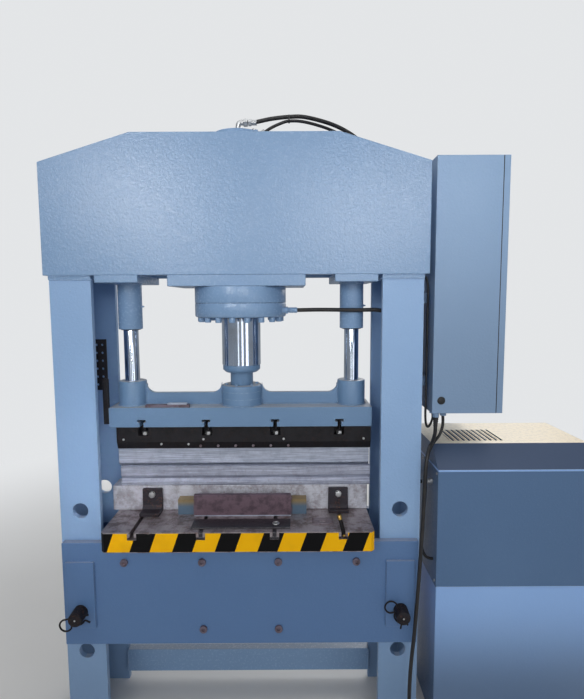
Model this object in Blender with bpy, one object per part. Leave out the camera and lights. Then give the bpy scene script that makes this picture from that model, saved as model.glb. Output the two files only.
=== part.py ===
"""Two-column hydraulic press: welded frame, guided ram, pinned bed with its tools, cabinet and power unit.

Sizes are in metres. X runs along the press, Y from the operator towards the back, Z up from the floor.
The drawing's own zero is the middle of the press at the columns' front face, on the floor. Everything hangs
from one empty, which moves that zero so that the world origin is the middle of the press's footprint.
"""

import math

import bmesh
import bpy
from mathutils import Matrix, Vector

GAP = 0.0003
HOLE_SIDES = 20
ROUND_SIDES = 24
LARGE_SIDES = 36

# Frame
COLUMN_X = 0.643
COLUMN_WIDTH = 0.160
COLUMN_DEPTH = 0.290
COLUMN_HEIGHT = 1.857
FLANGE = 0.025
WEB = 0.020
CAP = 0.016
CROSS_OVERHANG = 0.019
CROSS_SHOULDER = 0.422
CROSS_RISE = 0.529
CROSS_FLAT = 0.395
CROSS_PLATE = 0.030
CROSS_PROUD = 0.010
TIE_LOW = 0.048
TIE_HEIGHT = 0.107
TIE_THICK = 0.040

# Bed height holes and pins
HOLE_R = 0.032
HOLES_BELOW_MIDDLE = 0.5925
HOLE_PITCH = 0.200
HOLE_COUNT = 4
PIN_HOLE = 1
PIN_R = 0.028
PIN_SIDES = 32
BED_HOLE_CLEAR = 0.0008
PIN_FRONT = 0.060
PIN_BACK = 0.040
PIN_CHAMFER = 0.004
PIN_LEAD = 0.010
CLIP_BEHIND_FACE = 0.024
CLIP_WIRE = 0.0035
CLIP_LOOP = 0.024
CLIP_LEG = 0.098
CLIP_END = 0.046

# Bed and table
BED_OUT = 0.010
BED_HEIGHT = 0.430
BED_BELOW_PIN = 0.151
BED_PLATE = 0.030
DOUBLER = 0.010
DOUBLER_WIDTH = 0.112
DOUBLER_HEIGHT = 0.276
DOUBLER_EDGE = 0.016
BED_WEB_X = 0.1525
BED_WEB = 0.020
BED_WEB_SHORT = 0.012
TABLE_SIDE_ROOM = 0.0395
TABLE_FRONT = 0.112
TABLE_BACK = 0.402
TABLE_THICK = 0.080
TABLE_CORNER = 0.012

# T-slots, the same in the table and in the ram
SLOT_X = (-0.404, -0.141, 0.141, 0.404)
SLOT_HEAD = 0.034
SLOT_STEM = 0.016
SLOT_HEAD_DEPTH = 0.011
SLOT_DEPTH = 0.030

# Cylinder
CYL_Y = 0.145
SEAT_HALF = 0.265
SEAT_THICK = 0.043
SEAT_PROUD = 0.005
FLANGE_R = 0.187
FLANGE_THICK = 0.065
GLAND_THICK = 0.056
BARREL_R = 0.120
BORE_R = 0.100
BARREL_BELOW_TOP = 0.0076
CYL_CAP_R = 0.104
CYL_CAP_HEIGHT = 0.0383
SPIGOT = 0.045
GLAND_SCREWS = 14
SCREW_R = 0.015
SCREW_HEAD = 0.023
SCREW_CIRCLE = 0.165
FITTING_OUT = 0.0465
FITTING_UP = 0.0268
FITTING_LENGTH = 0.060
FITTING_R = 0.014
FITTING_NECK_R = 0.010
FITTING_END_R = 0.0115
MAIN_PORT_X = 0.040
MAIN_PORT_UP = 0.0522
ELBOW_HEIGHT = 0.068
PILOT_PORT_X = 0.080
PILOT_PORT_UP = 0.0097
ROD_R = 0.080
ROD_NECK_R = 0.047
ROD_COLLAR_R = 0.0776
ROD_COLLAR = 0.031
PISTON_THICK = 0.070
PISTON_UP = 0.335
PISTON_CLEAR = 0.0005
RUN_CLEAR = 0.0005

# Ram and guides
RAM_HALF = 0.535
RAM_THICK = 0.080
RAM_FRONT = 0.060
RAM_DEPTH = 0.170
RETAINER_R = 0.084
RETAINER_HEIGHT = 0.083
RETAINER_WALL = 0.0115
NECK_LENGTH = 0.054
GUIDE_X = 0.460
GUIDE_ROD_R = 0.030
GUIDE_CLEAR = 0.0008
HOUSING_R = 0.0485
HOUSING_LENGTH = 0.186
BOSS_R = 0.0575
BOSS_HEIGHT = 0.101
GUIDE_PLATE_IN = 0.378
GUIDE_PLATE_OUT = 0.5435
GUIDE_PLATE = 0.028
GUIDE_ROD_SHORT = 0.0056
RIB_THICK = 0.020
RIB_HEIGHT = 0.050
RIB_END = 0.040

# Bending tools
HOLDER_LEFT = -0.515
HOLDER_RIGHT = 0.536
HOLDER_HEIGHT = 0.098
HOLDER_FRONT = 0.080
HOLDER_DEPTH = 0.130
HOLDER_FOOT = 0.080
HOLDER_HEAD = 0.040
NOTCH_WIDTH = 0.040
NOTCH_DEPTH = 0.034
NOTCH_HEIGHT = 0.040
TANG_WIDTH = 0.014
TANG_HEIGHT = 0.022
PUNCH_RIGHT = 0.535
PUNCH_LEFT = -0.524
PUNCH_HEIGHT = 0.0882
PUNCH_WIDTH = 0.040
PUNCH_TIP = 0.008
PUNCH_TAPER = 0.0165
PUNCH_IN_V = 0.0088
DIE_LEFT = -0.509
DIE_RIGHT = 0.536
DIE_HEIGHT = 0.0826
DIE_DEPTH = 0.090
DIE_V_HALF = 0.022
DIE_SIDE_V_HALF = 0.014
DIE_SIDE_V_DEPTH = 0.010
DIE_SIDE_V_UP = 0.0297
DIE_CHAMFER = 0.004
BASE_LEFT = -0.546
BASE_RIGHT = 0.525
BASE_HEIGHT = 0.1055
BASE_DEPTH = 0.090
CLAMP_WIDTH = 0.082
CLAMP_HEIGHT = 0.097
CLAMP_THICK = 0.014
LEFT_CLAMP_X = -0.376
RIGHT_CLAMP_X = 0.402
LEFT_CLAMP_FOOT = 0.072
RIGHT_CLAMP_FOOT = 0.045
BLOCK_LEFT = -0.193
BLOCK_RIGHT = 0.204
BLOCK_FRONT = 0.035
BLOCK_THICK = 0.020
BLOCK_HEIGHT = 0.088
BLOCK_WIDE_LEFT = -0.262
BLOCK_WIDE_RIGHT = 0.268
BLOCK_WIDE_THICK = 0.040
BLOCK_WIDE_HEIGHT = 0.062

# Ram end switch
SWITCH_BAR_UP = 0.013
SWITCH_BAR_HEIGHT = 0.185
SWITCH_BAR_WIDTH = 0.022
SWITCH_BAR_THICK = 0.016
BRACKET_UP = 0.148
BRACKET_HEIGHT = 0.210
BRACKET_RIGHT = -0.549
BRACKET_WIDTH = 0.058
BRACKET_Y = 0.100
BRACKET_THICK = 0.004
BRACKET_ARM = 0.040
BRACKET_HOLE_R = 0.005
BRACKET_HOLE_ROWS = 6

# Cabinet
STANDOFF_REACH = 0.047
CABINET_WIDTH = 0.280
CABINET_FRONT = 0.020
CABINET_DEPTH = 0.600
CABINET_ABOVE_UNIT = 0.1457
CABINET_HEIGHT = 1.000
CABINET_SHEET = 0.002
DOOR_THICK = 0.025
HINGE_R = 0.006
HINGE_LENGTH = 0.060
HINGE_AT = 0.180
LOCK_R = 0.011
LOCK_HEAD_R = 0.016
LOCK_IN = 0.045
CAM_LENGTH = 0.030
CAM_WIDTH = 0.012
CAM_THICK = 0.003
STANDOFF_HEIGHT = 0.040
STANDOFF_FRONT = 0.110
STANDOFF_DEPTH = 0.120
STANDOFF_LOW = 0.098
STANDOFF_HIGH = 0.097

# Power unit
UNIT_LEFT = 0.795
UNIT_WIDTH = 0.650
UNIT_DEPTH = 0.445
TANK_HEIGHT = 0.600
COVER_HEIGHT = 0.576
COVER_FRONT_HEIGHT = 0.495
COVER_SLOPE_DEPTH = 0.100
COVER_SHEET = 0.003
LOUVRES = 10
LOUVRE_PITCH = 0.023
LOUVRE_WIDTH = 0.007
LOUVRE_FIRST = 0.098
LOUVRE_FRONT = 0.140
LOUVRE_LENGTH = 0.180
MOTOR_R = 0.095
MOTOR_LENGTH = 0.260
MOTOR_FROM_RIGHT = 0.205
MOTOR_Y = 0.235
MOTOR_FOOT = 0.015

# Cords and hoses
MAIN_HOSE_R = 0.008
PILOT_HOSE_R = 0.006
ROD_HOSE_R = 0.008
CONTROL_R = 0.006
CONDUIT_R = 0.005
SUPPLY_R = 0.0075
HOSE_HOLE_R = 0.022
ROD_HOSE_Y = 0.0845
COIL_R = 0.0825
COIL_X = 0.600
COIL_Y = -0.255
COIL_HALF_WIDTH = 0.016
COIL_HEIGHT = 0.028
PLUG_R = 0.032
PLUG_LENGTH = 0.095
PLUG_RELIEF = 0.045
PLUG_FROM_COIL_X = 0.225
PLUG_FROM_COIL_Y = 0.095

# Worked out from the sizes above
COLUMN_IN = COLUMN_X - COLUMN_WIDTH / 2
COLUMN_OUT = COLUMN_X + COLUMN_WIDTH / 2
CROSS_LOW = COLUMN_HEIGHT + CAP + 2 * GAP
CROSS_END = COLUMN_OUT + CROSS_OVERHANG
CROSS_TOP = CROSS_LOW + CROSS_RISE
HOLE_LOWEST = COLUMN_HEIGHT / 2 - HOLES_BELOW_MIDDLE
PIN_Z = HOLE_LOWEST + PIN_HOLE * HOLE_PITCH
BED_LOW = PIN_Z - BED_BELOW_PIN
BED_TOP = BED_LOW + BED_HEIGHT
BED_HALF = COLUMN_OUT - BED_OUT
TABLE_LOW = BED_TOP + GAP
TABLE_TOP = TABLE_LOW + TABLE_THICK
TABLE_HALF = COLUMN_IN - TABLE_SIDE_ROOM
CABINET_LEFT = COLUMN_OUT + STANDOFF_REACH
SEAT_LOW = CROSS_LOW - GAP - SEAT_THICK
GUIDE_PLATE_LOW = CROSS_LOW - GAP - GUIDE_PLATE
FLANGE_LOW = SEAT_LOW - GAP - FLANGE_THICK
GLAND_LOW = FLANGE_LOW - GAP - GLAND_THICK
BARREL_TOP = CROSS_TOP - BARREL_BELOW_TOP
CYL_CAP_TOP = BARREL_TOP + GAP + CYL_CAP_HEIGHT
PISTON_LOW = FLANGE_LOW + PISTON_UP
GUIDE_ROD_TOP = CROSS_LOW - GUIDE_ROD_SHORT
BASE_FRONT = CYL_Y - BASE_DEPTH / 2
BASE_LOW = TABLE_TOP + GAP
BASE_TOP = BASE_LOW + BASE_HEIGHT
DIE_LOW = BASE_TOP + GAP
DIE_TOP = DIE_LOW + DIE_HEIGHT
PUNCH_LOW = DIE_TOP - PUNCH_IN_V
HOLDER_LOW = PUNCH_LOW + PUNCH_HEIGHT + GAP
RAM_LOW = HOLDER_LOW + HOLDER_HEIGHT + GAP
RAM_TOP = RAM_LOW + RAM_THICK
SWITCH_BAR_LOW = RAM_LOW + SWITCH_BAR_UP
BRACKET_LOW = RAM_LOW + BRACKET_UP
RETAINER_TOP = RAM_TOP + GAP + RETAINER_HEIGHT
COLLAR_LOW = RETAINER_TOP + NECK_LENGTH
CABINET_RIGHT = CABINET_LEFT + CABINET_WIDTH
CABINET_BACK = CABINET_FRONT + CABINET_DEPTH
DOOR_LEFT = CABINET_RIGHT - DOOR_THICK
DOOR_HINGE_X = DOOR_LEFT - GAP / 2
DOOR_HINGE_Y = CABINET_BACK + HINGE_R
UNIT_RIGHT = UNIT_LEFT + UNIT_WIDTH
COVER_LOW = TANK_HEIGHT + GAP
COVER_TOP = COVER_LOW + COVER_HEIGHT
CABINET_LOW = COVER_TOP + CABINET_ABOVE_UNIT
PIN_AXIS_Z = PIN_Z - (HOLE_R * math.cos(math.pi / HOLE_SIDES) - PIN_R - GAP)
HOLES_Z = [HOLE_LOWEST + HOLE_PITCH * row for row in range(HOLE_COUNT)]
CENTRE_X = (UNIT_RIGHT - CROSS_END) / 2
CENTRE_Y = (DOOR_HINGE_Y + HINGE_R - TABLE_FRONT) / 2

PAINTS = {
    "frame_blue": ((0.27, 0.39, 0.55), 0.42, 0.0),
    "bed_blue": ((0.13, 0.20, 0.30), 0.48, 0.0),
    "cabinet_blue": ((0.19, 0.29, 0.42), 0.40, 0.0),
    "cover_blue": ((0.10, 0.16, 0.23), 0.45, 0.0),
    "chrome": ((0.62, 0.63, 0.65), 0.12, 1.0),
    "tool_steel": ((0.42, 0.44, 0.50), 0.38, 1.0),
    "raw_steel": ((0.22, 0.19, 0.18), 0.55, 0.9),
    "black_steel": ((0.014, 0.014, 0.018), 0.45, 0.2),
    "table_steel": ((0.22, 0.20, 0.20), 0.50, 0.8),
    "zinc": ((0.55, 0.56, 0.55), 0.35, 1.0),
    "rubber": ((0.012, 0.012, 0.013), 0.55, 0.0),
    "plastic": ((0.015, 0.015, 0.016), 0.40, 0.0),
    "motor_grey": ((0.10, 0.12, 0.14), 0.50, 0.3),
}


def clear_scene():
    for old in list(bpy.data.objects):
        bpy.data.objects.remove(old, do_unlink=True)


def material(name):
    """The material of that name, made on first use from its colour, roughness and metallic value."""
    if name in bpy.data.materials:
        return bpy.data.materials[name]
    colour, roughness, metallic = PAINTS[name]
    made = bpy.data.materials.new(name)
    made.use_nodes = True
    shader = made.node_tree.nodes["Principled BSDF"]
    shader.inputs["Base Color"].default_value = (*colour, 1.0)
    shader.inputs["Roughness"].default_value = roughness
    shader.inputs["Metallic"].default_value = metallic
    made.diffuse_color = (*colour, 1.0)
    return made


def place(name, mesh, paint, at=(0, 0, 0), turn=(0, 0, 0), parent=None):
    """A new object of this mesh at a point of the drawing, carried by the press's own empty."""
    obj = bpy.data.objects.new(name, mesh)
    bpy.context.collection.objects.link(obj)
    obj.location = at
    obj.rotation_euler = turn
    obj.parent = parent or bpy.data.objects["press_zero"]
    if mesh and not mesh.materials:
        mesh.materials.append(material(paint))
    return obj


def bevel(obj, width, segments=2, angle=50):
    """Rounds the sharp edges of a plate or casting."""
    rounder = obj.modifiers.new("edge_rounding", "BEVEL")
    rounder.width = width
    rounder.segments = segments
    rounder.limit_method = "ANGLE"
    rounder.angle_limit = math.radians(angle)
    return obj


def boolean(obj, mesh, at, operation):
    """Cuts the mesh, placed at a point of the drawing, out of the object, or joins it on."""
    helper = place(f"{obj.name}_{operation.lower()}_{len(obj.modifiers)}", mesh, "black_steel", at)
    helper.hide_render = True
    helper.display_type = "WIRE"
    joint = obj.modifiers.new(operation.lower(), "BOOLEAN")
    joint.operation = operation
    joint.solver = "EXACT"
    joint.object = helper
    return obj


def cut(obj, mesh, at=(0, 0, 0)):
    return boolean(obj, mesh, at, "DIFFERENCE")


def join(obj, mesh, at=(0, 0, 0)):
    return boolean(obj, mesh, at, "UNION")


def finished(shape, name, smooth=False):
    """A mesh made from a bmesh, with its faces turned outwards."""
    bmesh.ops.recalc_face_normals(shape, faces=shape.faces)
    mesh = bpy.data.meshes.new(name)
    shape.to_mesh(mesh)
    shape.free()
    if smooth:
        mesh.shade_smooth()
        mesh.set_sharp_from_angle(angle=math.radians(35))
    return mesh


def boxes(*spans):
    """One mesh of separate boxes, each given as its (low, high) along X, Y and Z."""
    shape = bmesh.new()
    for x, y, z in spans:
        middle = Vector(((x[0] + x[1]) / 2, (y[0] + y[1]) / 2, (z[0] + z[1]) / 2))
        size = Matrix.Diagonal((x[1] - x[0], y[1] - y[0], z[1] - z[0], 1))
        bmesh.ops.create_cube(shape, size=1, matrix=Matrix.Translation(middle) @ size)
    return finished(shape, "boxes")


def bars(centres, radius, low, high, axis="Y", sides=32):
    """One mesh of round bars along an axis, each centred on a pair of the other two coordinates."""
    shape = bmesh.new()
    quarter = math.pi / 2
    turns = {"X": Matrix.Rotation(quarter, 4, "Y"), "Y": Matrix.Rotation(-quarter, 4, "X"), "Z": Matrix()}
    for u, v in centres:
        along = (low + high) / 2
        middle = {"X": (along, u, v), "Y": (u, along, v), "Z": (u, v, along)}[axis]
        bmesh.ops.create_cone(
            shape,
            cap_ends=True,
            segments=sides,
            radius1=radius,
            radius2=radius,
            depth=high - low,
            matrix=Matrix.Translation(middle) @ turns[axis],
        )
    return finished(shape, "bars", smooth=True)


def prism(outline, low, high, axis="Y", smooth=False):
    """The outline, given in the two other axes in order, extruded along this axis."""
    shape = bmesh.new()
    spot = {"X": lambda u, v: (low, u, v), "Y": lambda u, v: (u, low, v), "Z": lambda u, v: (u, v, low)}[axis]
    corners = [shape.verts.new(spot(u, v)) for u, v in outline]
    face = shape.faces.new(corners)
    pushed = bmesh.ops.extrude_face_region(shape, geom=[face])["geom"]
    step = Vector([(high - low) * (axis == name) for name in "XYZ"])
    bmesh.ops.translate(shape, verts=[v for v in pushed if isinstance(v, bmesh.types.BMVert)], vec=step)
    return finished(shape, "prism", smooth)


def turned(profile, sides=48, axis="Z"):
    """The closed profile of (radius, height) points, turned once round the axis."""
    shape = bmesh.new()
    corners = [shape.verts.new((radius, 0, height)) for radius, height in profile]
    pairs = zip(corners, corners[1:] + corners[:1])
    edges = [shape.edges.new((a, b)) for a, b in pairs if a.co.x + b.co.x > 0]
    bmesh.ops.spin(
        shape,
        geom=corners + edges,
        cent=(0, 0, 0),
        axis=(0, 0, 1),
        angle=2 * math.pi,
        steps=sides,
        use_merge=True,
    )
    bmesh.ops.remove_doubles(shape, verts=shape.verts, dist=1e-6)
    if axis == "Y":
        bmesh.ops.rotate(shape, verts=shape.verts, matrix=Matrix.Rotation(-math.pi / 2, 3, "X"))
    if axis == "X":
        bmesh.ops.rotate(shape, verts=shape.verts, matrix=Matrix.Rotation(math.pi / 2, 3, "Y"))
    return finished(shape, "turned", smooth=True)


def arc(cx, cz, radius, start, end, steps):
    """Points of an arc between two angles in degrees."""
    angles = [math.radians(start + (end - start) * i / steps) for i in range(steps + 1)]
    return [(cx + radius * math.cos(a), cz + radius * math.sin(a)) for a in angles]


def smooth_line(points, spacing, lead):
    """Evenly spaced points of a smooth curve through the route's points, by Catmull and Rom's formula.

    One more point at this lead from each end keeps the end faces square to the route there.
    """
    route = [Vector(p) for p in points]
    route = [2 * route[0] - route[1], *route, 2 * route[-1] - route[-2]]
    fine = []
    for a, b, c, d in zip(route, route[1:], route[2:], route[3:]):
        for i in range(40):
            t = i / 40
            square = (2 * a - 5 * b + 4 * c - d) * t**2
            cube = (3 * b - a - 3 * c + d) * t**3
            fine.append(0.5 * (2 * b + (c - a) * t + square + cube))
    fine.append(route[-2])
    lengths = [0.0]
    for p, q in zip(fine, fine[1:]):
        lengths.append(lengths[-1] + (q - p).length)
    count = max(2, round(lengths[-1] / spacing))
    even = []
    at = 0
    for i in range(count + 1):
        wanted = lengths[-1] * i / count
        while at < len(fine) - 2 and lengths[at + 1] < wanted:
            at += 1
        share = (wanted - lengths[at]) / (lengths[at + 1] - lengths[at])
        even.append(fine[at].lerp(fine[at + 1], min(1, share)))
    first = even[0] + lead * (route[2] - route[1]).normalized()
    last = even[-1] - lead * (route[-2] - route[-3]).normalized()
    return [even[0], first, *even[1:-1], last, even[-1]]


def tube(name, points, radius, paint, resolution=2, at=(0, 0, 0)):
    """A round cord or wire along these points, as a curve with a bevel and closed ends."""
    curve = bpy.data.curves.new(name, "CURVE")
    curve.dimensions = "3D"
    line = curve.splines.new("POLY")
    line.points.add(len(points) - 1)
    for spot, p in zip(line.points, points):
        spot.co = (*p, 1)
        spot.radius = 1
    curve.bevel_depth = radius
    curve.bevel_resolution = resolution
    curve.use_fill_caps = True
    line.use_smooth = True
    return place(name, curve, paint, at)


def cord(name, route, radius, paint, spacing=2.5):
    return tube(name, smooth_line(route, spacing * 2 * radius, radius), radius, paint)


def make_zero():
    """The empty that carries the whole press and puts the world origin under the middle of its footprint."""
    zero = bpy.data.objects.new("press_zero", None)
    bpy.context.collection.objects.link(zero)
    zero.location = (-CENTRE_X, -CENTRE_Y, 0)


def make_column(side, word):
    """A column is a channel of three plates, open towards the middle, with a cap plate on top."""
    at_x = side * COLUMN_X
    for name, y in (("front", FLANGE / 2), ("rear", COLUMN_DEPTH - FLANGE / 2)):
        plate = place(
            f"{word}_column_{name}_plate",
            boxes(((-COLUMN_WIDTH / 2, COLUMN_WIDTH / 2), (-FLANGE / 2, FLANGE / 2), (0, COLUMN_HEIGHT))),
            "frame_blue",
            (at_x, y, 0),
        )
        cut(plate, bars([(0, z) for z in HOLES_Z], HOLE_R, -FLANGE, FLANGE, sides=HOLE_SIDES), (at_x, y, 0))
    web_x = side * (COLUMN_OUT - WEB / 2)
    web = place(
        f"{word}_column_web",
        boxes(((-WEB / 2, WEB / 2), (FLANGE + GAP, COLUMN_DEPTH - FLANGE - GAP), (0, COLUMN_HEIGHT))),
        "frame_blue",
        (web_x, 0, 0),
    )
    if side > 0:
        cut(web, bars([(ROD_HOSE_Y, HOSE_HOLE_Z)], HOSE_HOLE_R, -WEB, WEB, axis="X", sides=24), (web_x, 0, 0))
    half = COLUMN_WIDTH / 2 + 0.002
    cap = place(
        f"{word}_cap_plate",
        boxes(((-half, half), (-0.004, COLUMN_DEPTH + 0.004), (0, CAP))),
        "frame_blue",
        (at_x, 0, COLUMN_HEIGHT + GAP),
    )
    bevel(cap, 0.0015, 1)


def make_crosshead():
    """Two thick plates with sloping shoulders, joined below by the cylinder's seat and the guide plates."""
    outline = [
        (-CROSS_END, 0),
        (CROSS_END, 0),
        (CROSS_END, CROSS_SHOULDER),
        (CROSS_FLAT, CROSS_RISE),
        (-CROSS_FLAT, CROSS_RISE),
        (-CROSS_END, CROSS_SHOULDER),
    ]
    front = -CROSS_PROUD
    rear = COLUMN_DEPTH + CROSS_PROUD - CROSS_PLATE
    for name, y in (("front", front), ("rear", rear)):
        shape = prism(outline, 0, CROSS_PLATE)
        plate = place(f"crosshead_{name}_plate", shape, "frame_blue", (0, y, CROSS_LOW))
        bevel(plate, 0.002, 2)
    deep = (front - SEAT_PROUD, rear + CROSS_PLATE + SEAT_PROUD)
    seat = place(
        "cylinder_seat_plate",
        boxes(((-SEAT_HALF, SEAT_HALF), deep, (0, SEAT_THICK))),
        "frame_blue",
        (0, 0, SEAT_LOW),
    )
    bevel(seat, 0.002, 1)
    hole_r = BARREL_R + RUN_CLEAR
    hole = bars([(0, CYL_Y)], hole_r, -0.01, SEAT_THICK + 0.01, axis="Z", sides=LARGE_SIDES)
    cut(seat, hole, (0, 0, SEAT_LOW))
    for side, word in ((-1, "left"), (1, "right")):
        ends = sorted((side * GUIDE_PLATE_IN, side * GUIDE_PLATE_OUT))
        plate = place(
            f"{word}_guide_plate",
            boxes((ends, deep, (0, GUIDE_PLATE))),
            "frame_blue",
            (0, 0, GUIDE_PLATE_LOW),
        )
        bevel(plate, 0.002, 1)
        hole_r = GUIDE_ROD_R + GUIDE_CLEAR
        spot = (side * GUIDE_X, CYL_Y)
        hole = bars([spot], hole_r, -0.01, GUIDE_PLATE + 0.01, axis="Z", sides=ROUND_SIDES)
        cut(plate, hole, (0, 0, GUIDE_PLATE_LOW))


def make_tie_bar():
    """The low bar that joins the two rear column plates."""
    half = COLUMN_IN - GAP
    bar = place(
        "rear_tie_bar",
        boxes(((-half, half), (-TIE_THICK, 0), (0, TIE_HEIGHT))),
        "frame_blue",
        (0, COLUMN_DEPTH, TIE_LOW),
    )
    bevel(bar, 0.003, 2)


def make_cylinder():
    """Barrel with its flange under the seat plate, gland below it and end cap on top."""
    flange_top = FLANGE_LOW + FLANGE_THICK
    barrel = [
        (BORE_R, FLANGE_LOW),
        (FLANGE_R - 0.003, FLANGE_LOW),
        (FLANGE_R, FLANGE_LOW + 0.003),
        (FLANGE_R, flange_top),
        (BARREL_R, flange_top),
        (BARREL_R, BARREL_TOP),
        (BORE_R, BARREL_TOP),
    ]
    place("cylinder_barrel", turned(barrel, LARGE_SIDES), "frame_blue", (0, CYL_Y, 0))
    cap_low = BARREL_TOP + GAP
    cap_top = CYL_CAP_TOP
    cap_profile = [
        (0, cap_low - SPIGOT),
        (BORE_R - GAP, cap_low - SPIGOT),
        (BORE_R - GAP, cap_low),
        (BARREL_R - 0.008, cap_low),
        (BARREL_R - 0.008, cap_low + 0.010),
        (CYL_CAP_R, cap_low + 0.018),
        (CYL_CAP_R, cap_top - 0.005),
        (CYL_CAP_R - 0.005, cap_top),
        (0, cap_top),
    ]
    cap = place("cylinder_end_cap", turned(cap_profile, LARGE_SIDES), "frame_blue", (0, CYL_Y, 0))
    block = boxes(((PILOT_PORT_X - 0.026, PILOT_PORT_X), (-0.012, 0.012), (cap_top - 0.004, cap_top + 0.022)))
    join(cap, block, (0, CYL_Y, 0))
    gland = [
        (ROD_R + RUN_CLEAR, GLAND_LOW),
        (FLANGE_R - 0.006, GLAND_LOW),
        (FLANGE_R, GLAND_LOW + 0.006),
        (FLANGE_R, GLAND_LOW + GLAND_THICK - 0.002),
        (FLANGE_R - 0.002, GLAND_LOW + GLAND_THICK),
        (ROD_R + RUN_CLEAR, GLAND_LOW + GLAND_THICK),
    ]
    ring = place("cylinder_gland", turned(gland, LARGE_SIDES), "frame_blue", (0, CYL_Y, 0))
    turns = [2 * math.pi * (i + 0.5) / GLAND_SCREWS for i in range(GLAND_SCREWS)]
    spots = [(SCREW_CIRCLE * math.cos(a), SCREW_CIRCLE * math.sin(a)) for a in turns]
    heads = bars(spots, SCREW_R, GLAND_LOW - SCREW_HEAD, GLAND_LOW + 0.004, axis="Z", sides=8)
    join(ring, heads, (0, CYL_Y, 0))
    neck = FITTING_LENGTH * 0.6
    fitting = turned(
        [
            (0, 0),
            (FITTING_R, 0),
            (FITTING_R, neck - 0.014),
            (FITTING_NECK_R, neck - 0.010),
            (FITTING_NECK_R, neck),
            (FITTING_END_R, neck + 0.002),
            (FITTING_END_R, FITTING_LENGTH),
            (0, FITTING_LENGTH),
        ],
        12,
        axis="X",
    )
    join(ring, fitting, (ROD_HOSE_START - FITTING_LENGTH, ROD_HOSE_Y, ROD_HOSE_Z))


def make_top_fitting():
    """Hose elbow on the end cap: a hexagon below and the outlet to the right."""
    column = [(0, 0), (0.017, 0), (0.017, 0.020), (0.012, 0.023), (0.012, ELBOW_HEIGHT), (0, ELBOW_HEIGHT)]
    body = turned(column, 18)
    elbow = place("top_fitting", body, "zinc", (0, CYL_Y, CYL_CAP_TOP + GAP))
    nozzle = [(0, 0), (0.012, 0), (0.012, 0.018), (0.0145, 0.019), (0.0145, MAIN_PORT_X), (0, MAIN_PORT_X)]
    outlet = turned(nozzle, 18, axis="X")
    join(elbow, outlet, (0, CYL_Y, MAIN_PORT_Z))


def make_piston_rod():
    """Piston, chromed rod, end collar, neck and the foot that the retainer holds."""
    foot_r = RETAINER_R - RETAINER_WALL - 0.001
    foot_low = RAM_TOP + GAP
    foot_top = RETAINER_TOP - 0.028
    profile = [
        (0, foot_low),
        (foot_r, foot_low),
        (foot_r, foot_top),
        (ROD_NECK_R, foot_top),
        (ROD_NECK_R, COLLAR_LOW),
        (ROD_COLLAR_R - 0.012, COLLAR_LOW),
        (ROD_COLLAR_R, COLLAR_LOW + 0.012),
        (ROD_COLLAR_R, COLLAR_LOW + ROD_COLLAR),
        (ROD_R, COLLAR_LOW + ROD_COLLAR),
        (ROD_R, PISTON_LOW),
        (BORE_R - PISTON_CLEAR, PISTON_LOW),
        (BORE_R - PISTON_CLEAR, PISTON_LOW + PISTON_THICK),
        (0, PISTON_LOW + PISTON_THICK),
    ]
    place("piston_rod", turned(profile, LARGE_SIDES), "chrome", (0, CYL_Y, 0))
    bore = RETAINER_R - RETAINER_WALL
    retainer = [
        (bore, RAM_TOP + GAP),
        (RETAINER_R, RAM_TOP + GAP),
        (RETAINER_R, RETAINER_TOP - 0.006),
        (RETAINER_R - 0.006, RETAINER_TOP),
        (ROD_NECK_R + 0.002, RETAINER_TOP),
        (ROD_NECK_R + 0.002, foot_top + 0.001),
        (bore, foot_top + 0.001),
    ]
    place("rod_retainer", turned(retainer, ROUND_SIDES), "frame_blue", (0, CYL_Y, 0))


def slot_cutters(low, high, mouth, towards):
    """T-slots along Y: a stem from the mouth's face and a wider head, deeper in."""
    deep = mouth + towards * SLOT_DEPTH
    head = deep - towards * SLOT_HEAD_DEPTH
    outside = mouth - towards * 0.01
    shapes = []
    for x in SLOT_X:
        stem, wide = SLOT_STEM / 2, SLOT_HEAD / 2
        outline = [
            (x - stem, outside),
            (x + stem, outside),
            (x + stem, head),
            (x + wide, head),
            (x + wide, deep),
            (x - wide, deep),
            (x - wide, head),
            (x - stem, head),
        ]
        shapes.append(prism(outline, low, high))
    shape = bmesh.new()
    for mesh in shapes:
        shape.from_mesh(mesh)
    return finished(shape, "t_slots")


def rib_outline():
    """A low rib between the rod's retainer and a guide boss, with its ends curved up against both."""
    start = RETAINER_R + GAP
    end = GUIDE_X - BOSS_R - GAP
    rise = RIB_HEIGHT
    left = arc(start + RIB_END, rise + RIB_END, RIB_END, 180, 270, 6)
    right = arc(end - RIB_END, rise + RIB_END, RIB_END, 270, 360, 6)
    return [(start, -0.004), *left, *right, (end, -0.004)]


def make_ram():
    """Ram plate with four T-slots below and the welded ribs on top."""
    ram = place(
        "ram_plate",
        boxes(((-RAM_HALF, RAM_HALF), (RAM_FRONT, RAM_FRONT + RAM_DEPTH), (0, RAM_THICK))),
        "frame_blue",
        (0, 0, RAM_LOW),
    )
    cut(ram, slot_cutters(RAM_FRONT - 0.01, RAM_FRONT + RAM_DEPTH + 0.01, 0, 1), (0, 0, RAM_LOW))
    low, high = CYL_Y - RIB_THICK / 2, CYL_Y + RIB_THICK / 2
    outline = rib_outline()
    mirrored = [(-x, z) for x, z in reversed(outline)]
    join(ram, prism(outline, low, high), (0, 0, RAM_TOP))
    join(ram, prism(mirrored, low, high), (0, 0, RAM_TOP))


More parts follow.
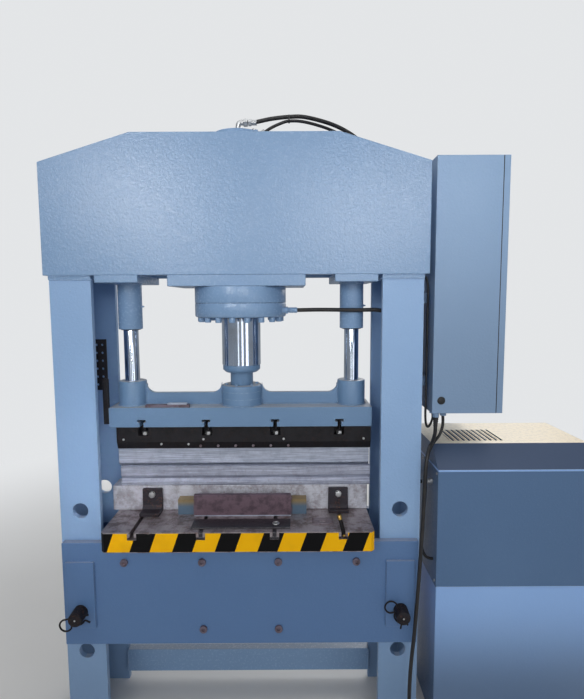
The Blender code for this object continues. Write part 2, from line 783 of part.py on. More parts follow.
def make_guides(side, word):
    """A polished guide rod in its boss on the ram and its housing under the crosshead."""
    at = (side * GUIDE_X, CYL_Y, 0)
    low = RAM_TOP + GAP
    high = GUIDE_ROD_TOP
    rod = [(0, low), (GUIDE_ROD_R, low), (GUIDE_ROD_R, high - 0.004), (GUIDE_ROD_R - 0.004, high), (0, high)]
    place(f"{word}_guide_rod", turned(rod, ROUND_SIDES), "chrome", at)
    hole = GUIDE_ROD_R + GAP
    high = low + BOSS_HEIGHT
    boss = [(hole, low), (BOSS_R, low), (BOSS_R, high - 0.003), (BOSS_R - 0.003, high), (hole, high)]
    place(f"{word}_guide_boss", turned(boss, ROUND_SIDES), "frame_blue", at)
    top = GUIDE_PLATE_LOW - GAP
    bottom = top - HOUSING_LENGTH
    hole = GUIDE_ROD_R + GUIDE_CLEAR
    edge = (HOUSING_R - 0.003, bottom)
    housing = [(hole, bottom), edge, (HOUSING_R, bottom + 0.003), (HOUSING_R, top), (hole, top)]
    place(f"{word}_guide_housing", turned(housing, ROUND_SIDES), "frame_blue", at)


def make_tools():
    """Tool holder under the ram and the punch that hangs in it by its tang."""
    head, foot = HOLDER_HEAD / 2, HOLDER_FOOT / 2
    tang = TANG_WIDTH / 2
    shank = HOLDER_DEPTH / 2
    outline = [
        (-shank, HOLDER_HEIGHT),
        (-shank, 0.030),
        (-shank + 0.012, 0),
        (-tang - GAP, 0),
        (-tang - GAP, TANG_HEIGHT + 0.002),
        (tang + GAP, TANG_HEIGHT + 0.002),
        (tang + GAP, 0),
        (foot, 0),
        (foot, HOLDER_HEIGHT - head),
        (shank, HOLDER_HEIGHT - head),
        (shank, HOLDER_HEIGHT),
    ]
    middle = HOLDER_FRONT + shank
    holder = place(
        "tool_holder",
        prism(outline, HOLDER_LEFT, HOLDER_RIGHT, axis="X"),
        "black_steel",
        (0, middle, HOLDER_LOW),
    )
    top = (HOLDER_HEIGHT - NOTCH_HEIGHT, HOLDER_HEIGHT + 0.01)
    depth = (-shank - 0.01, NOTCH_DEPTH - shank)
    notches = [((x - NOTCH_WIDTH / 2, x + NOTCH_WIDTH / 2), depth, top) for x in SLOT_X]
    cut(holder, boxes(*notches), (0, middle, HOLDER_LOW))
    bevel(holder, 0.0015, 1)
    tip = PUNCH_TIP / 2
    body = PUNCH_WIDTH / 2
    outline = [
        (-tip, 0),
        (tip, 0),
        (body, PUNCH_TAPER),
        (body, PUNCH_HEIGHT),
        (tang, PUNCH_HEIGHT),
        (tang, PUNCH_HEIGHT + TANG_HEIGHT),
        (-tang, PUNCH_HEIGHT + TANG_HEIGHT),
        (-tang, PUNCH_HEIGHT),
        (-body, PUNCH_HEIGHT),
        (-body, PUNCH_TAPER),
    ]
    place("punch", prism(outline, PUNCH_LEFT, PUNCH_RIGHT, axis="X"), "tool_steel", (0, CYL_Y, PUNCH_LOW))


def make_dies():
    """Die base on the table, and on it the die block with a V groove in its top and one in each side."""
    base = place(
        "die_base",
        boxes(((BASE_LEFT, BASE_RIGHT), (-BASE_DEPTH / 2, BASE_DEPTH / 2), (0, BASE_HEIGHT))),
        "tool_steel",
        (0, CYL_Y, BASE_LOW),
    )
    bevel(base, 0.002, 1)
    half = DIE_DEPTH / 2
    groove = DIE_SIDE_V_UP
    inner = half - DIE_SIDE_V_DEPTH
    right = [
        (half - DIE_CHAMFER, 0),
        (half, DIE_CHAMFER),
        (half, groove - DIE_SIDE_V_HALF),
        (inner, groove),
        (half, groove + DIE_SIDE_V_HALF),
        (half, DIE_HEIGHT),
        (DIE_V_HALF, DIE_HEIGHT),
        (0, DIE_HEIGHT - DIE_V_HALF),
    ]
    left = [(-y, z) for y, z in reversed(right[:-1])]
    die = prism(right + left, DIE_LEFT, DIE_RIGHT, axis="X")
    place("v_die", die, "tool_steel", (0, CYL_Y, DIE_LOW))


def make_clamp(name, x, foot):
    """An angle that stands on the table and holds the die base from the front."""
    outline = [
        (0, 0),
        (0, CLAMP_HEIGHT),
        (-CLAMP_THICK, CLAMP_HEIGHT),
        (-CLAMP_THICK - 0.004, CLAMP_THICK + 0.012),
        (-CLAMP_THICK - 0.014, CLAMP_THICK),
        (-foot, CLAMP_THICK),
        (-foot, 0),
    ]
    clamp = place(
        name,
        prism(outline, -CLAMP_WIDTH / 2, CLAMP_WIDTH / 2, axis="X"),
        "black_steel",
        (x, BASE_FRONT - GAP, TABLE_TOP + GAP),
    )
    bevel(clamp, 0.002, 1)
    profile = [(0, 0), (0.011, 0), (0.013, -0.002), (0.013, -0.012), (0.011, -0.014), (0, -0.014)]
    head = turned(profile, 6, axis="Y")
    join(clamp, head, (x, BASE_FRONT - GAP - CLAMP_THICK + 0.002, TABLE_TOP + CLAMP_HEIGHT * 0.76))


def make_steel_block():
    """A loose forged block on the table: a narrow upright face with a wider, lower bar behind it."""
    front, step = BLOCK_FRONT, BLOCK_FRONT + BLOCK_THICK
    wide = (BLOCK_WIDE_LEFT, BLOCK_WIDE_RIGHT)
    block = place(
        "steel_block",
        boxes((wide, (step - 0.003, step + BLOCK_WIDE_THICK), (0, BLOCK_WIDE_HEIGHT))),
        "raw_steel",
        (0, 0, TABLE_TOP + GAP),
    )
    join(block, boxes(((BLOCK_LEFT, BLOCK_RIGHT), (front, step), (0, BLOCK_HEIGHT))), (0, 0, TABLE_TOP + GAP))


def make_bed():
    """Bed plates in front of and behind the columns, with webs between them, and the table across them."""
    span = (-BED_HALF, BED_HALF)
    centre = BED_HEIGHT / 2
    for name, y in (("front", -GAP - BED_PLATE), ("rear", COLUMN_DEPTH + GAP)):
        shape = boxes((span, (0, BED_PLATE), (0, BED_HEIGHT)))
        plate = place(f"bed_{name}_plate", shape, "bed_blue", (0, y, BED_LOW))
        bevel(plate, 0.002, 1)
        if name == "front":
            pads = []
            for side in (-1, 1):
                x = side * (BED_HALF - DOUBLER_EDGE - DOUBLER_WIDTH / 2)
                half = DOUBLER_WIDTH / 2
                tall = DOUBLER_HEIGHT / 2
                pads.append(((x - half, x + half), (-DOUBLER, 0.004), (centre - tall, centre + tall)))
            join(plate, boxes(*pads), (0, y, BED_LOW))
        spots = [(-COLUMN_X, PIN_AXIS_Z), (COLUMN_X, PIN_AXIS_Z)]
        holes = bars(spots, PIN_R + BED_HOLE_CLEAR, -0.03, BED_PLATE + 0.02, sides=PIN_SIDES)
        cut(plate, holes, (0, y, 0))
    for side, word in ((-1, "left"), (1, "right")):
        web = place(
            f"{word}_bed_web",
            boxes(((-BED_WEB / 2, BED_WEB / 2), (0, COLUMN_DEPTH), (0, BED_HEIGHT - BED_WEB_SHORT))),
            "bed_blue",
            (side * BED_WEB_X, 0, BED_LOW),
        )
        bevel(web, 0.002, 1)
    corner = TABLE_CORNER
    outline = [
        (-TABLE_HALF, TABLE_BACK),
        (-TABLE_HALF, corner - TABLE_FRONT),
        (corner - TABLE_HALF, -TABLE_FRONT),
        (TABLE_HALF - corner, -TABLE_FRONT),
        (TABLE_HALF, corner - TABLE_FRONT),
        (TABLE_HALF, TABLE_BACK),
    ]
    table = place("table_plate", prism(outline, 0, TABLE_THICK, axis="Z"), "table_steel", (0, 0, TABLE_LOW))
    cut(table, slot_cutters(-TABLE_FRONT - 0.01, TABLE_BACK + 0.01, TABLE_THICK, -1), (0, 0, TABLE_LOW))


def clip_line():
    """Centreline of a spring clip in its own plane: straight leg, round loop, leg that hugs the pin."""
    loop = CLIP_LOOP
    hug = PIN_R + CLIP_WIRE + 0.001
    straight = [(CLIP_END, 0.0), (CLIP_END - CLIP_LEG / 2, 0.0), (CLIP_END - CLIP_LEG, 0.0)]
    end_x = straight[-1][0]
    ring = [(end_x + u, loop + v) for u, v in arc(0, 0, loop, -90, -325, 12)][1:]
    reach = math.radians(38)
    turns = [math.pi - reach - (math.pi - 2 * reach) * i / 8 for i in range(9)]
    wrapped = [(hug * math.cos(a), hug * math.sin(a)) for a in turns]
    last_x, last_z = wrapped[-1]
    tail = [(last_x + 0.006, last_z + 0.001), (last_x + 0.020, last_z + 0.012)]
    return [(x, -z) for x, z in straight + ring + wrapped + tail]


def make_pin(side, word):
    """A bed pin through bed plates and column, with a cross hole for its spring clip."""
    front = -GAP - BED_PLATE - DOUBLER - PIN_FRONT
    back = COLUMN_DEPTH + BED_PLATE + PIN_BACK
    profile = [
        (0, front),
        (PIN_R - PIN_CHAMFER, front),
        (PIN_R, front + PIN_CHAMFER),
        (PIN_R, back - PIN_LEAD),
        (PIN_R - PIN_LEAD, back),
        (0, back),
    ]
    at = (side * COLUMN_X, 0, PIN_AXIS_Z)
    pin = place(f"{word}_bed_pin", turned(profile, PIN_SIDES, axis="Y"), "black_steel", at)
    lean = math.radians(-62 if side > 0 else 12)
    turn = Matrix.Rotation(lean, 2)
    clip_y = front + CLIP_BEHIND_FACE
    flat = [turn @ Vector(p) for p in clip_line()]
    tube(f"{word}_pin_clip", [(p.x, clip_y, p.y) for p in flat], CLIP_WIRE, "black_steel", at=at)
    drill = bars([(0, 0)], CLIP_WIRE + 0.0008, -PIN_R - 0.02, PIN_R + 0.02, axis="X", sides=12)
    drill.transform(Matrix.Rotation(-lean, 4, "Y"))
    cut(pin, drill, (at[0], clip_y, PIN_AXIS_Z))


def make_end_switch():
    """The ram's switch bar and the slotted bracket beside it in the left column."""
    bar = place(
        "switch_bar",
        boxes(((-SWITCH_BAR_WIDTH, 0), (0, SWITCH_BAR_THICK), (0, SWITCH_BAR_HEIGHT))),
        "black_steel",
        (-RAM_HALF - GAP, RAM_FRONT, SWITCH_BAR_LOW),
    )
    bevel(bar, 0.0015, 1)
    left = BRACKET_RIGHT - BRACKET_WIDTH
    bracket = place(
        "switch_bracket",
        boxes(((left, BRACKET_RIGHT), (0, BRACKET_THICK), (0, BRACKET_HEIGHT))),
        "black_steel",
        (0, BRACKET_Y, BRACKET_LOW),
    )
    web_face = WEB - COLUMN_OUT + GAP
    low, high = BRACKET_HEIGHT / 2 - BRACKET_ARM / 2, BRACKET_HEIGHT / 2 + BRACKET_ARM / 2
    arm = boxes(
        ((web_face, left + 0.004), (0, BRACKET_THICK), (low, high)),
    )
    join(bracket, arm, (0, BRACKET_Y, BRACKET_LOW))
    foot = boxes(((web_face, web_face + 0.004), (-0.001, 0.030), (low + 0.001, high - 0.001)))
    join(bracket, foot, (0, BRACKET_Y, BRACKET_LOW))
    spots = []
    for row in range(BRACKET_HOLE_ROWS):
        z = BRACKET_HEIGHT * (row + 0.7) / (BRACKET_HOLE_ROWS + 0.4)
        spots += [(left + BRACKET_WIDTH * share, z) for share in (0.30, 0.70)]
    cut(bracket, bars(spots, BRACKET_HOLE_R, -0.01, 0.02, sides=8), (0, BRACKET_Y, BRACKET_LOW))


def make_cabinet():
    """Sheet cabinet on two stand-offs beside the right column, with its door on the right side."""
    width = DOOR_LEFT - GAP - CABINET_LEFT
    shell = place(
        "cabinet_shell",
        boxes(((0, width), (0, CABINET_DEPTH), (0, CABINET_HEIGHT))),
        "cabinet_blue",
        (CABINET_LEFT, CABINET_FRONT, CABINET_LOW),
    )
    sheet = CABINET_SHEET
    inside = boxes(((sheet, width + 0.01), (sheet, CABINET_DEPTH - sheet), (sheet, CABINET_HEIGHT - sheet)))
    cut(shell, inside, (CABINET_LEFT, CABINET_FRONT, CABINET_LOW))
    reach = CABINET_LEFT - COLUMN_OUT - GAP
    bars_y = (STANDOFF_FRONT, STANDOFF_FRONT + STANDOFF_DEPTH)
    heights = (CABINET_LOW + STANDOFF_LOW, COLUMN_HEIGHT - STANDOFF_HIGH)
    for z in heights:
        join(shell, boxes(((-reach, sheet / 2), bars_y, (z, z + STANDOFF_HEIGHT))), (CABINET_LEFT, 0, 0))
    glands = bars(CABINET_GLANDS, GLAND_NUT_R, -GLAND_NUT, sheet / 2, axis="Z", sides=10)
    join(shell, glands, (0, 0, CABINET_LOW))
    pivot = (DOOR_HINGE_X, DOOR_HINGE_Y, CABINET_LOW)
    knuckles = []
    arms = []
    for z in (HINGE_AT, CABINET_HEIGHT - HINGE_AT):
        low = z + GAP
        knuckles.append((low, z + HINGE_LENGTH / 2))
        arms.append(((-0.024, 0), (-HINGE_R - 0.001, -HINGE_R + 0.003), (low, z + HINGE_LENGTH / 2)))
    for low, high in knuckles:
        join(shell, bars([(0, 0)], HINGE_R, low, high, axis="Z", sides=12), pivot)
    join(shell, boxes(*arms), pivot)


def make_door():
    """Folded door with its hinge knuckles; its origin is on the hinge line."""
    pivot = (DOOR_HINGE_X, DOOR_HINGE_Y, CABINET_LOW)
    near, far = DOOR_LEFT - DOOR_HINGE_X, CABINET_RIGHT - DOOR_HINGE_X
    front, back = CABINET_FRONT - DOOR_HINGE_Y, CABINET_BACK - DOOR_HINGE_Y
    shape = boxes(((near, far), (front, back), (0, CABINET_HEIGHT)))
    door = place("cabinet_door", shape, "cabinet_blue", pivot)
    sheet = CABINET_SHEET
    room = (front + sheet, back - sheet)
    inside = boxes(((near - 0.01, far - sheet), room, (sheet, CABINET_HEIGHT - sheet)))
    cut(door, inside, pivot)
    for z in (HINGE_AT, CABINET_HEIGHT - HINGE_AT):
        low, high = z - HINGE_LENGTH / 2, z - GAP
        join(door, bars([(0, 0)], HINGE_R - GAP, low, high, axis="Z", sides=12), pivot)
        join(door, boxes(((near, 0.020), (-HINGE_R - 0.001, -HINGE_R + 0.003), (low, high))), pivot)
    spot = (LOCK_IN + front, CABINET_HEIGHT / 2)
    hole = bars([spot], LOCK_R + GAP, far - 0.01, far + 0.01, axis="X", sides=20)
    cut(door, hole, pivot)


def make_lock():
    """Barrel lock in the door, with a cam on its inner end; its origin is on its own axis."""
    x = CABINET_RIGHT
    profile = [
        (0, -0.016),
        (LOCK_R, -0.016),
        (LOCK_R, GAP),
        (LOCK_HEAD_R, GAP),
        (LOCK_HEAD_R, 0.003),
        (LOCK_HEAD_R - 0.003, 0.006),
        (0, 0.006),
    ]
    at = (x, CABINET_FRONT + LOCK_IN, CABINET_LOW + CABINET_HEIGHT / 2)
    lock = place("cabinet_lock", turned(profile, 20, axis="X"), "zinc", at)
    cam = boxes(((-0.016 - CAM_THICK + 0.001, -0.015), (-CAM_LENGTH, 0.009), (-CAM_WIDTH / 2, CAM_WIDTH / 2)))
    join(lock, cam, at)
    slot = boxes(((0.003, 0.010), (-0.001, 0.001), (-0.006, 0.006)))
    cut(lock, slot, at)


def make_power_unit():
    """Oil tank, pump motor on it, and the sheet cover with its sloped front and a row of louvres."""
    tank = place(
        "oil_tank",
        boxes(((0, UNIT_WIDTH), (0, UNIT_DEPTH), (0, TANK_HEIGHT))),
        "frame_blue",
        (UNIT_LEFT, 0, 0),
    )
    bevel(tank, 0.003, 2)
    outer = [
        (0, 0),
        (UNIT_DEPTH, 0),
        (UNIT_DEPTH, COVER_HEIGHT),
        (COVER_SLOPE_DEPTH, COVER_HEIGHT),
        (0, COVER_FRONT_HEIGHT),
    ]
    sheet = COVER_SHEET
    slope = math.atan2(COVER_HEIGHT - COVER_FRONT_HEIGHT, COVER_SLOPE_DEPTH)
    inner = [
        (sheet, -0.01),
        (UNIT_DEPTH - sheet, -0.01),
        (UNIT_DEPTH - sheet, COVER_HEIGHT - sheet),
        (COVER_SLOPE_DEPTH + sheet * math.tan(slope / 2), COVER_HEIGHT - sheet),
        (sheet, COVER_FRONT_HEIGHT - sheet * math.tan(math.pi / 4 - slope / 2)),
    ]
    at = (UNIT_LEFT, 0, COVER_LOW)
    cover = place("pump_cover", prism(outer, 0, UNIT_WIDTH, axis="X"), "cover_blue", at)
    cut(cover, prism(inner, sheet, UNIT_WIDTH - sheet, axis="X"), at)
    slots = []
    for i in range(LOUVRES):
        x = LOUVRE_FIRST + i * LOUVRE_PITCH
        deep = (LOUVRE_FRONT, LOUVRE_FRONT + LOUVRE_LENGTH)
        slots.append(((x, x + LOUVRE_WIDTH), deep, (COVER_HEIGHT - 0.01, COVER_HEIGHT + 0.01)))
    cut(cover, boxes(*slots), at)
    motor_z = COVER_LOW + MOTOR_FOOT + MOTOR_R
    motor_x = UNIT_RIGHT - MOTOR_FROM_RIGHT
    half = MOTOR_LENGTH / 2
    body = turned(
        [
            (0, -half),
            (MOTOR_R - 0.030, -half),
            (MOTOR_R - 0.010, 0.020 - half),
            (MOTOR_R, 0.030 - half),
            (MOTOR_R, half - 0.040),
            (MOTOR_R - 0.010, half - 0.030),
            (MOTOR_R - 0.010, half),
            (0, half),
        ],
        24,
        axis="X",
    )
    motor = place("pump_motor", body, "motor_grey", (motor_x, MOTOR_Y, motor_z))
    foot = boxes(((-half * 0.6, half * 0.6), (-MOTOR_R, MOTOR_R), (-MOTOR_R - MOTOR_FOOT, -MOTOR_R * 0.75)))
    join(motor, foot, (motor_x, MOTOR_Y, motor_z))


# Ends and routes of the cords
MAIN_PORT_Z = CYL_CAP_TOP + MAIN_PORT_UP
PILOT_PORT_Z = CYL_CAP_TOP + PILOT_PORT_UP
ROD_HOSE_START = FLANGE_R + FITTING_OUT
ROD_HOSE_Z = GLAND_LOW + FITTING_UP
HOSE_HOLE_Z = 1.020
GLAND_NUT_R = 0.013
GLAND_NUT = 0.020
GLANDS_IN_FLOOR = [(0.022, 0.026), (0.060, 0.055), (0.030, 0.100)]
CABINET_GLANDS = [(CABINET_LEFT + x, CABINET_FRONT + y) for x, y in GLANDS_IN_FLOOR]
SUPPLY_GLAND, CONTROL_GLAND, CONDUIT_GLAND = CABINET_GLANDS
COIL_MEET = math.sqrt((COIL_R + COIL_HALF_WIDTH) ** 2 - COIL_R**2)
PLUG_X = COIL_X - PLUG_FROM_COIL_X
PLUG_Y = COIL_Y - PLUG_FROM_COIL_Y

MAIN_ROUTE = [
    (MAIN_PORT_X + GAP, CYL_Y, MAIN_PORT_Z),
    (0.060, CYL_Y, MAIN_PORT_Z),
    (0.085, CYL_Y, MAIN_PORT_Z + 0.005),
    (0.135, 0.147, MAIN_PORT_Z + 0.0155),
    (0.2046, 0.150, MAIN_PORT_Z + 0.0236),
    (0.2693, 0.160, MAIN_PORT_Z + 0.0259),
    (0.3652, 0.200, MAIN_PORT_Z + 0.0164),
    (0.4387, 0.230, MAIN_PORT_Z - 0.004),
    (0.500, 0.262, MAIN_PORT_Z - 0.0333),
    (0.556, 0.302, MAIN_PORT_Z - 0.081),
    (0.602, 0.335, MAIN_PORT_Z - 0.151),
    (0.630, 0.346, MAIN_PORT_Z - 0.251),
    (0.638, 0.344, MAIN_PORT_Z - 0.386),
    (0.640, 0.340, CROSS_LOW - 0.0236),
    (0.645, 0.336, 1.550),
    (0.645, 0.340, 1.250),
    (0.665, 0.352, 1.080),
    (0.712, 0.360, 1.004),
    (0.770, 0.360, 0.980),
    (UNIT_LEFT - GAP, 0.360, 0.980),
]
PILOT_ROUTE = [
    (PILOT_PORT_X + GAP, CYL_Y, PILOT_PORT_Z),
    (0.094, CYL_Y, PILOT_PORT_Z),
    (0.109, 0.146, PILOT_PORT_Z + 0.008),
    (0.130, 0.148, PILOT_PORT_Z + 0.022),
    (0.165, 0.150, PILOT_PORT_Z + 0.0385),
    (0.2046, 0.152, PILOT_PORT_Z + 0.0505),
    (0.2693, 0.166, PILOT_PORT_Z + 0.0512),
    (0.3652, 0.211, PILOT_PORT_Z + 0.0397),
    (0.4387, 0.245, PILOT_PORT_Z + 0.0157),
    (0.500, 0.280, PILOT_PORT_Z - 0.0193),
    (0.545, 0.316, PILOT_PORT_Z - 0.0713),
    (0.576, 0.334, PILOT_PORT_Z - 0.158),
    (0.592, 0.333, PILOT_PORT_Z - 0.293),
    (0.606, 0.330, CROSS_LOW - 0.0236),
    (0.612, 0.326, 1.550),
    (0.616, 0.335, 1.250),
    (0.640, 0.380, 1.060),
    (0.705, 0.400, 0.960),
    (0.770, 0.400, 0.930),
    (UNIT_LEFT - GAP, 0.400, 0.930),
]
ROD_HOSE_ROUTE = [
    (ROD_HOSE_START + GAP, ROD_HOSE_Y, ROD_HOSE_Z),
    (0.330, ROD_HOSE_Y, ROD_HOSE_Z + 0.001),
    (0.460, ROD_HOSE_Y - 0.0005, ROD_HOSE_Z - 0.001),
    (0.560, ROD_HOSE_Y, ROD_HOSE_Z - 0.002),
    (0.615, ROD_HOSE_Y, ROD_HOSE_Z - 0.0205),
    (0.640, ROD_HOSE_Y, ROD_HOSE_Z - 0.0855),
    (0.644, ROD_HOSE_Y, 1.450),
    (0.640, ROD_HOSE_Y, 1.180),
    (0.652, ROD_HOSE_Y, 1.080),
    (0.690, ROD_HOSE_Y, 1.030),
    (0.735, ROD_HOSE_Y, HOSE_HOLE_Z),
    (0.775, ROD_HOSE_Y, HOSE_HOLE_Z),
    (UNIT_LEFT - GAP, ROD_HOSE_Y, HOSE_HOLE_Z),
]
CONTROL_ROUTE = [
    (CONTROL_GLAND[0], CONTROL_GLAND[1], CABINET_LOW - GLAND_NUT - GAP),
    (CONTROL_GLAND[0], CONTROL_GLAND[1], 1.262),
    (0.817, 0.070, 1.222),
    (0.780, 0.052, 1.180),
    (0.760, 0.042, 1.120),
    (0.753, 0.036, 0.980),
    (0.747, 0.044, 0.820),
    (0.748, 0.050, 0.748),
    (0.763, 0.050, 0.712),
    (0.784, 0.050, 0.700),
    (UNIT_LEFT - GAP, 0.050, 0.700),
]
CONDUIT_ROUTE = [
    (0.655, 0.110, CROSS_LOW + CONDUIT_R + 0.001),
    (0.700, 0.092, CROSS_LOW + CONDUIT_R + 0.006),
    (0.736, 0.066, CROSS_LOW - 0.0016),
    (0.750, 0.050, CROSS_LOW - 0.0416),
    (0.751, 0.048, CROSS_LOW - 0.1736),
    (0.751, 0.048, 1.400),
    (0.752, 0.052, 1.300),
    (0.764, 0.072, 1.258),
    (0.786, 0.106, 1.254),
    (CONDUIT_GLAND[0], CONDUIT_GLAND[1], 1.279),
    (CONDUIT_GLAND[0], CONDUIT_GLAND[1], CABINET_LOW - GLAND_NUT - GAP),
]
SUPPLY_ROUTE = [
    (SUPPLY_GLAND[0], SUPPLY_GLAND[1], CABINET_LOW - GLAND_NUT - GAP),
    (SUPPLY_GLAND[0], SUPPLY_GLAND[1], 1.266),
    (0.785, 0.028, 1.236),
    (0.765, -0.008, 1.212),
    (0.742, -0.045, 1.195),
    (0.724, -0.068, 1.120),
    (0.719, -0.070, 0.958),
    (0.714, -0.070, 0.840),
    (0.7065, -0.070, 0.680),
    (0.694, -0.071, 0.475),
    (0.680, -0.073, 0.309),
    (0.675, -0.078, 0.180),
    (0.676, -0.092, 0.090),
    (0.682, -0.122, 0.030),
    (0.689, -0.165, 0.0085),
    (COIL_X + COIL_R + SUPPLY_R, COIL_Y + COIL_MEET, 0.0080),
]


def make_cords():
    """Hoses and cables along their routes, the supply cable's coil on the floor, and its plug."""
    cord("main_hose", MAIN_ROUTE, MAIN_HOSE_R, "rubber", 2.6)
    cord("pilot_hose", PILOT_ROUTE, PILOT_HOSE_R, "rubber", 4.0)
    cord("rod_side_hose", ROD_HOSE_ROUTE, ROD_HOSE_R, "rubber", 2.8)
    cord("control_cable", CONTROL_ROUTE, CONTROL_R, "rubber", 2.6)
    cord("cabinet_conduit", CONDUIT_ROUTE, CONDUIT_R, "rubber", 2.8)
    cord("supply_cable", SUPPLY_ROUTE, SUPPLY_R, "rubber", 2.8)
    half = COIL_HALF_WIDTH
    high = COIL_HEIGHT
    corner = 0.006
    ring = [
        (COIL_R - half, corner),
        (COIL_R - half + corner, 0),
        (COIL_R + half - corner, 0),
        (COIL_R + half, corner),
        (COIL_R + half, high - corner),
        (COIL_R + half - corner, high),
        (COIL_R - half + corner, high),
        (COIL_R - half, high - corner),
    ]
    place("supply_cable_coil", turned(ring, ROUND_SIDES), "rubber", (COIL_X, COIL_Y, 0.0003))
    tail = [
        (COIL_X - COIL_MEET, COIL_Y - COIL_R - SUPPLY_R, 0.0085),
        (COIL_X - 0.085, COIL_Y - 0.091, 0.0092),
        (COIL_X - 0.130, COIL_Y - 0.093, 0.0180),
        (COIL_X - 0.175, PLUG_Y, 0.0305),
        (PLUG_X + 0.022, PLUG_Y, PLUG_R),
        (PLUG_X + GAP, PLUG_Y, PLUG_R),
    ]
    cord("supply_cable_tail", tail, SUPPLY_R, "rubber", 1.5)
    shell = [
        (0, 0),
        (SUPPLY_R + 0.002, 0),
        (SUPPLY_R + 0.007, -PLUG_RELIEF),
        (PLUG_R - 0.008, -PLUG_RELIEF - 0.004),
        (PLUG_R - 0.004, -PLUG_RELIEF - 0.050),
        (PLUG_R, -PLUG_RELIEF - 0.054),
        (PLUG_R, -PLUG_RELIEF - PLUG_LENGTH),
        (0, -PLUG_RELIEF - PLUG_LENGTH),
    ]
    plug = place("supply_plug", turned(shell, 18, axis="X"), "plastic", (PLUG_X, PLUG_Y, PLUG_R))
    end = -PLUG_RELIEF - PLUG_LENGTH
    inner = PLUG_R - 0.004
    mouth = [(0, end - 0.01), (inner, end - 0.01), (inner, end + 0.032), (0, end + 0.032)]
    socket = turned(mouth, 18, axis="X")
    cut(plug, socket, (PLUG_X, PLUG_Y, PLUG_R))
    turns = [2 * math.pi * i / 5 for i in range(5)]
    spots = [(0.016 * math.cos(a), 0.016 * math.sin(a)) for a in turns]
    prongs = bars(spots, 0.0035, end + 0.004, end + 0.034, axis="X", sides=6)
    join(plug, prongs, (PLUG_X, PLUG_Y, PLUG_R))


def main():
    clear_scene()
    make_zero()
    for side, word in ((-1, "left"), (1, "right")):
        make_column(side, word)
        make_guides(side, word)
        make_pin(side, word)
    make_crosshead()
    make_tie_bar()
    make_cylinder()
    make_top_fitting()
    make_piston_rod()
    make_ram()
    make_tools()
    make_dies()
    make_clamp("left_die_clamp", LEFT_CLAMP_X, LEFT_CLAMP_FOOT)
    make_clamp("right_die_clamp", RIGHT_CLAMP_X, RIGHT_CLAMP_FOOT)
    make_steel_block()
    make_bed()
    make_end_switch()
    make_cabinet()
    make_door()
    make_lock()
    make_power_unit()
    make_cords()


main()
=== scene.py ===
"""Looks of the hydraulic press: finishes, welds, fasteners, hoses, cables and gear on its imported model."""

import math

import bmesh
import bpy
import numpy as np
from mathutils import Matrix


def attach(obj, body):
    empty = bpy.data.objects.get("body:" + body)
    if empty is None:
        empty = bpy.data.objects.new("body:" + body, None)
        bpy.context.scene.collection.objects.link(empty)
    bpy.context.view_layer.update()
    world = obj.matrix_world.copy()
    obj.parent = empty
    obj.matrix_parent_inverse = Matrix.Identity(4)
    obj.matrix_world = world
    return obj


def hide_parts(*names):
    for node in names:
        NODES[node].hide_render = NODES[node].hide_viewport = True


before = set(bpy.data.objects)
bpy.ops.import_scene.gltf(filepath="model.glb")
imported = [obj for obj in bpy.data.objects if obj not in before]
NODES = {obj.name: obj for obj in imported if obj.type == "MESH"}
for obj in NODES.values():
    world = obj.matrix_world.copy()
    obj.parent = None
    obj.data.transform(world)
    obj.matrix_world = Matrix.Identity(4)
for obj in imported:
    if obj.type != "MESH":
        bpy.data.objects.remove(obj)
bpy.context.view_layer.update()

# Places below are drawn from the middle of the press's columns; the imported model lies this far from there
HOME = np.array((-0.3515, -0.2600, 0.0))
TAU = 2 * math.pi
UPRIGHT = (0, 0, 1)
# Faces that meet at more than this show an edge
SHARP = math.radians(34)

# Sizes shared with the model, in metres
CYLINDER_Y = 0.145
COLUMN_X = 0.643
COLUMN_OUT = 0.723
COLUMN_IN = 0.561
GUIDE_X = 0.460
PIN_Z = 0.5327
CLIP_Y = -0.0763
SLOTS_X = (-0.404, -0.141, 0.141, 0.404)
TAPE_FRONT = -0.1122
TABLE_TOP = 0.8953
RAM_SEAM = 1.3432
CAP_SEAM = 1.8570
SEAT_SEAM = 1.8735
CABINET_LOW = 1.322
COVER_LEFT = 0.7947
COVER_TOP = 1.1763
BLOCK_X = 0.0055

# The photograph's camera: place in metres, turns in radians, focal length for a sensor 36 mm wide
CAMERA_AT = (-0.1424, -2.2021, 1.7704)
CAMERA_YAW, CAMERA_PITCH, CAMERA_ROLL = -0.0013, 0.0959, -0.0051
CAMERA_LENS = 30.82

# What the camera sees round the press
PALE = "eceef0"
PALE_LEVEL = 0.92


# Camera, floor and light


def stand(name, data, at, *axes):
    """A new object in the scene at a place, its own three axes turned to those given."""
    thing = bpy.data.objects.new(name, data)
    turn = np.stack(axes, 1)
    thing.matrix_world = Matrix([(*row, place) for row, place in zip(turn, at)] + [(0, 0, 0, 1)])
    bpy.context.scene.collection.objects.link(thing)
    return thing


def make_camera():
    """Camera where the photograph was taken: yaw about up, then pitch down, then roll about its own view."""
    yaw, pitch, roll = CAMERA_YAW, CAMERA_PITCH, CAMERA_ROLL
    ahead = np.array((-math.cos(pitch) * math.sin(yaw), math.cos(pitch) * math.cos(yaw), -math.sin(pitch)))
    above = np.array((-math.sin(pitch) * math.sin(yaw), math.sin(pitch) * math.cos(yaw), math.cos(pitch)))
    right = np.array((math.cos(yaw), math.sin(yaw), 0.0))
    side = math.cos(roll) * right + math.sin(roll) * above
    up = math.cos(roll) * above - math.sin(roll) * right
    data = bpy.data.cameras.new("camera")
    data.sensor_fit = "HORIZONTAL"
    data.sensor_width = 36
    data.lens = CAMERA_LENS
    bpy.context.scene.camera = stand("camera", data, CAMERA_AT, side, up, -ahead)


